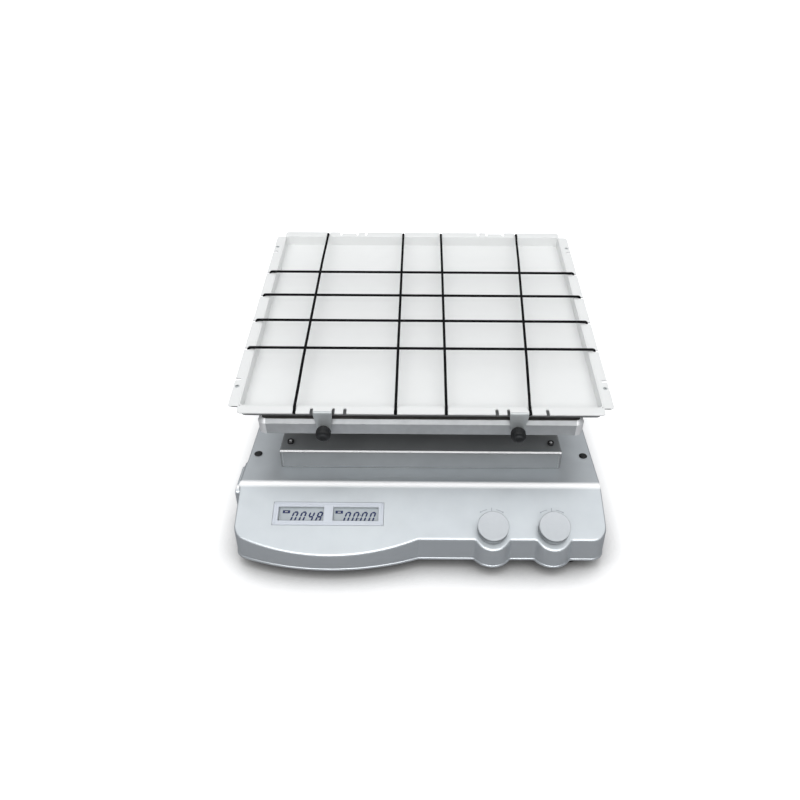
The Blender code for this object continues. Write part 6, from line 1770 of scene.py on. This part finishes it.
@dataclass
class ThumbScrew:
    """Knurled clamp screw through a tab."""

    quarter: str
    x: int
    y: int
    radius: float = 0.0077
    height: float = 0.0265

    def build(self) -> None:
        """Turns the knob with rounded flutes: radius(a) = radius (0.975 + 0.025 cos 22 a)."""
        outward = Matrix.Rotation(-self.y * math.pi / 2, 4, "X")
        place = LEAN @ move(self.x * TAB_X, self.y * TAB_FACE, self.height) @ outward
        low, top, steps, flutes = 0.0029, 0.0121, 132, 22
        profile = [(0, top - 0.0003), (0.0030, top - 0.0003), (0.0034, top), (0.0058, top),
                   (0.0070, top - 0.0006), (self.radius, top - 0.0020), (self.radius, low + 0.0008),
                   (0.0071, low), (0.0050, low),
                   (0.0050, GAP), (0.0024, GAP), (0.0024, -0.0022), (0, -0.0022)]
        ripple = np.ones((len(profile), steps))
        ripple[5:7] = 0.975 + 0.025 * np.cos(spokes(steps) * flutes)
        name = f"{self.quarter}_clamp"
        knob = add_object(name + "_knob", [turned(profile, steps, ripple)], place)
        dress(knob, BLACK, name, (name + "_screw",), 40)


@dataclass
class Cords:
    """Eight elastic cords with a knot under the flange at each end."""

    radius: float = 0.0015
    steps: int = 12

    def end(self, outward: float, run: float) -> list:
        """(distance out, height, radius factor) from the knot under a slot to the top of the flange."""
        over, down, bend = self.radius + GAP, -0.0024, 0.0030
        knot = ((-0.0036, 0.4), (-0.0032, 1.5), (-0.0018, 2.1), (-0.0004, 1.5), (0.0003, 1.0))
        line = [(outward, down + height, thick) for height, thick in knot]
        line.append((outward, -0.0015, 1.0))
        for a in sweep(15, 90, 8):
            line.append((outward - bend * (1 - math.cos(a)), over - bend + bend * math.sin(a), 1.0))
        return [*line, (run, over, 1.0)]

    def cord(self, name: str, route: list) -> None:
        """A braided tube along a route, with its length and its turn kept as a UV map.

        Args:
            name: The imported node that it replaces.
            route: (x, y, height over the flange, radius factor) rows.
        """
        places = np.array(route)
        path = places[:, :3] + (0, 0, TRAY_TOP)
        steps = self.steps
        surface = tube(path, self.radius * places[:, 3], steps).moved(LEAN)
        mesh = bpy.data.meshes.new(name + "_sleeve")
        mesh.from_pydata(surface.points.tolist(), [], [tuple(face) for face in surface.faces])
        lengths = np.concatenate([[0], np.cumsum(np.linalg.norm(np.diff(path, axis=0), axis=1))])
        corner = np.empty(len(mesh.loops), np.int32)
        mesh.loops.foreach_get("vertex_index", corner)
        around, along = corner % steps / steps, lengths[corner // steps]
        count = (len(path) - 1) * steps * 4
        fours = around[:count].reshape(-1, 4)
        wrapped = fours.max(axis=1, keepdims=True) - fours > 0.5
        around[:count] = (fours + wrapped).reshape(-1)
        uv = mesh.uv_layers.new(name="along").data
        uv.foreach_set("uv", np.column_stack([around, along]).astype(np.float32).ravel())
        dress(placed(name + "_sleeve", mesh), CORD, "platform", (name,), 60)

    def build(self) -> None:
        """Makes four cords across and four lengthwise over them."""
        rest = self.radius + GAP
        side = TRAY_X - SLOT_X + self.radius + GAP
        end = TRAY_Y - SLOT_Y + self.radius + GAP
        for index, share in enumerate((-1.5, -0.5, 0.5, 1.5)):
            y = share * SLOT_PITCH
            half = [(out, y, height, thick) for out, height, thick in self.end(side, WALL_X)]
            middle = [(x, y, rest, 1.0) for x in np.linspace(-0.18, 0.18, 25)]
            left = [(-out, *others) for out, *others in half]
            self.cord(f"cross_cord_{index + 1}", left + middle + half[::-1])
        relief = TAB_X + (0.0181 + 0.0032) / 2
        half = self.end(end, WALL_Y)
        for name, share in (("left", -2.5), ("middle_left", -0.5), ("middle_right", 0.5), ("right", 2.5)):
            rear_x = share * SLOT_PITCH
            front_x = relief if name == "right" else rear_x
            front = [(front_x, -out, height, thick) for out, height, thick in half]
            rear = [(rear_x, out, height, thick) for out, height, thick in half][::-1]
            middle = []
            for y in np.linspace(-0.155, 0.155, 40):
                mix = (y + end) / (2 * end)
                lift = 2.05 * self.radius * smooth(np.array((0.165 - abs(y)) / 0.075))
                middle.append((front_x + (rear_x - front_x) * mix, y, rest + float(lift), 1.0))
            self.cord(name + "_cord", front + middle + rear)


# ---------------------------------------------------------------- the studio


@dataclass
class Studio:
    """Plain pale floor, soft light and the camera at the photograph's angle."""

    camera_place: tuple = (-0.0001, -0.7360, 0.5712)
    yaw: float = math.radians(-0.2)
    pitch: float = math.radians(33.9)
    roll: float = math.radians(0.28)
    focal: float = 709.55
    middle_x: float = 418.87

    def build(self) -> None:
        """Makes the floor, the world and the camera."""
        self.floor()
        self.world()
        self.camera()

    @staticmethod
    def floor() -> None:
        """A wide floor, paler to the camera than to the light it sends back, with a painted contact shadow
        near the object.
        """
        corners = 14.0 * np.array([(x, y, 0) for x, y in ROUND])
        floor = add_object("floor", [Surface(corners, [(0, 1, 2, 3)])])
        made, tree, shader = new_material("pale floor")
        viewed = tree.add("LightPath").outputs["Is Camera Ray"]
        speck = tree.add("TexNoise", Vector=tree.add("TexCoord").outputs["Object"], Scale=40.0)
        pale = tree.mix(speck.outputs[0], (0.955, 0.955, 0.96, 1), (0.97, 0.97, 0.97, 1))
        # Ambient occlusion darkens the floor's colour and glow near the object: a painted contact shadow.
        near = tree.add("AmbientOcclusion", set_samples=8, Distance=0.055)
        shade = tree.maths("POWER", near.outputs["AO"], 1.7)
        seen = tree.mix(shade, (0.10, 0.10, 0.10, 1), pale)
        tree.join(tree.mix(viewed, (0.32, 0.32, 0.33, 1), seen), shader["Base Color"])
        shader["Emission Color"].default_value = (1, 1, 1, 1)
        glow = tree.maths("MULTIPLY", tree.maths("MULTIPLY", viewed, 0.5), shade)
        tree.join(glow, shader["Emission Strength"])
        shader["Roughness"].default_value = 0.9
        shader["Specular IOR Level"].default_value = 0.0
        floor.data.materials.append(made)

    @staticmethod
    def world() -> None:
        """Soft light: dim at the horizon, bright overhead, with a long soft box over the viewer.

        The light from a direction of height z is dim + (bright - dim) times a ramp of z. The box takes its
        place where the direction's angle to the front, measured in the plane across the box, lies in its
        band. The viewer sees a plain pale background.
        """
        world = bpy.data.worlds.new("studio")
        bpy.context.scene.world = world
        world.use_nodes = True
        tree = Tree(world.node_tree)
        way = tree.add("SeparateXYZ", Vector=tree.add("TexCoord").outputs["Generated"])
        tone = tree.mix(tree.ramp(way.outputs[2], 0.22, 0.97), (0.13, 0.135, 0.145, 1), (1.16, 1.17, 1.18, 1))
        rise = tree.maths("ARCTAN2", way.outputs[2], tree.maths("MULTIPLY", way.outputs[1], -1.0))
        off = tree.maths("ABSOLUTE", tree.maths("SUBTRACT", rise, math.radians(36)))
        band = tree.ramp(off, math.radians(13), math.radians(20), fade=True)
        side = tree.ramp(tree.maths("ABSOLUTE", way.outputs[0]), 0.35, 0.65, fade=True)
        box = tree.maths("MULTIPLY", band, side)
        light = tree.mix(box, tone, (3.2, 3.2, 3.2, 1))
        bright = tree.mix(tree.add("LightPath").outputs["Is Camera Ray"], light, (0.93, 0.935, 0.94, 1))
        back = world.node_tree.nodes["Background"]
        tree.join(bright, back.inputs["Color"])
        back.inputs["Strength"].default_value = 0.95

    def camera(self) -> None:
        """The camera, from the fitted place, turn and focal length of a picture 800 pixels wide."""
        level = Vector((math.cos(self.yaw), -math.sin(self.yaw), 0))
        flat = math.cos(self.pitch)
        ahead = Vector((math.sin(self.yaw) * flat, math.cos(self.yaw) * flat, -math.sin(self.pitch)))
        upright = level.cross(ahead)
        right = level * math.cos(self.roll) + upright * math.sin(self.roll)
        up = upright * math.cos(self.roll) - level * math.sin(self.roll)
        data = bpy.data.cameras.new("camera")
        data.sensor_width = 36.0
        data.lens = self.focal / PICTURE_SIDE * data.sensor_width
        data.shift_x = (PICTURE_SIDE / 2 - self.middle_x) / PICTURE_SIDE
        data.clip_start, data.clip_end = 0.02, 60
        camera = placed("camera", data)
        turn = Matrix((right, up, -ahead)).transposed().to_4x4()
        camera.matrix_world = Matrix.Translation(self.camera_place) @ turn
        bpy.context.scene.camera = camera
        bpy.context.scene.view_settings.view_transform = "Standard"


def main() -> None:
    """Builds every sub-assembly in order."""
    logging.basicConfig(level=logging.INFO, format="%(name)s: %(message)s")
    Studio().build()
    Housing().build()
    Pedestal().build()
    Display().build()
    for name, x in KNOBS.items():
        Knob(name, x).build()
    Switch().build()
    Inlet().build()
    WobbleDrive().build()
    Carrier().build()
    Platform().build()
    Tray().build()
    for quarter, x, y in QUARTERS:
        ThumbScrew(quarter, x, y).build()
    Cords().build()


if __name__ == "__main__":
    main()
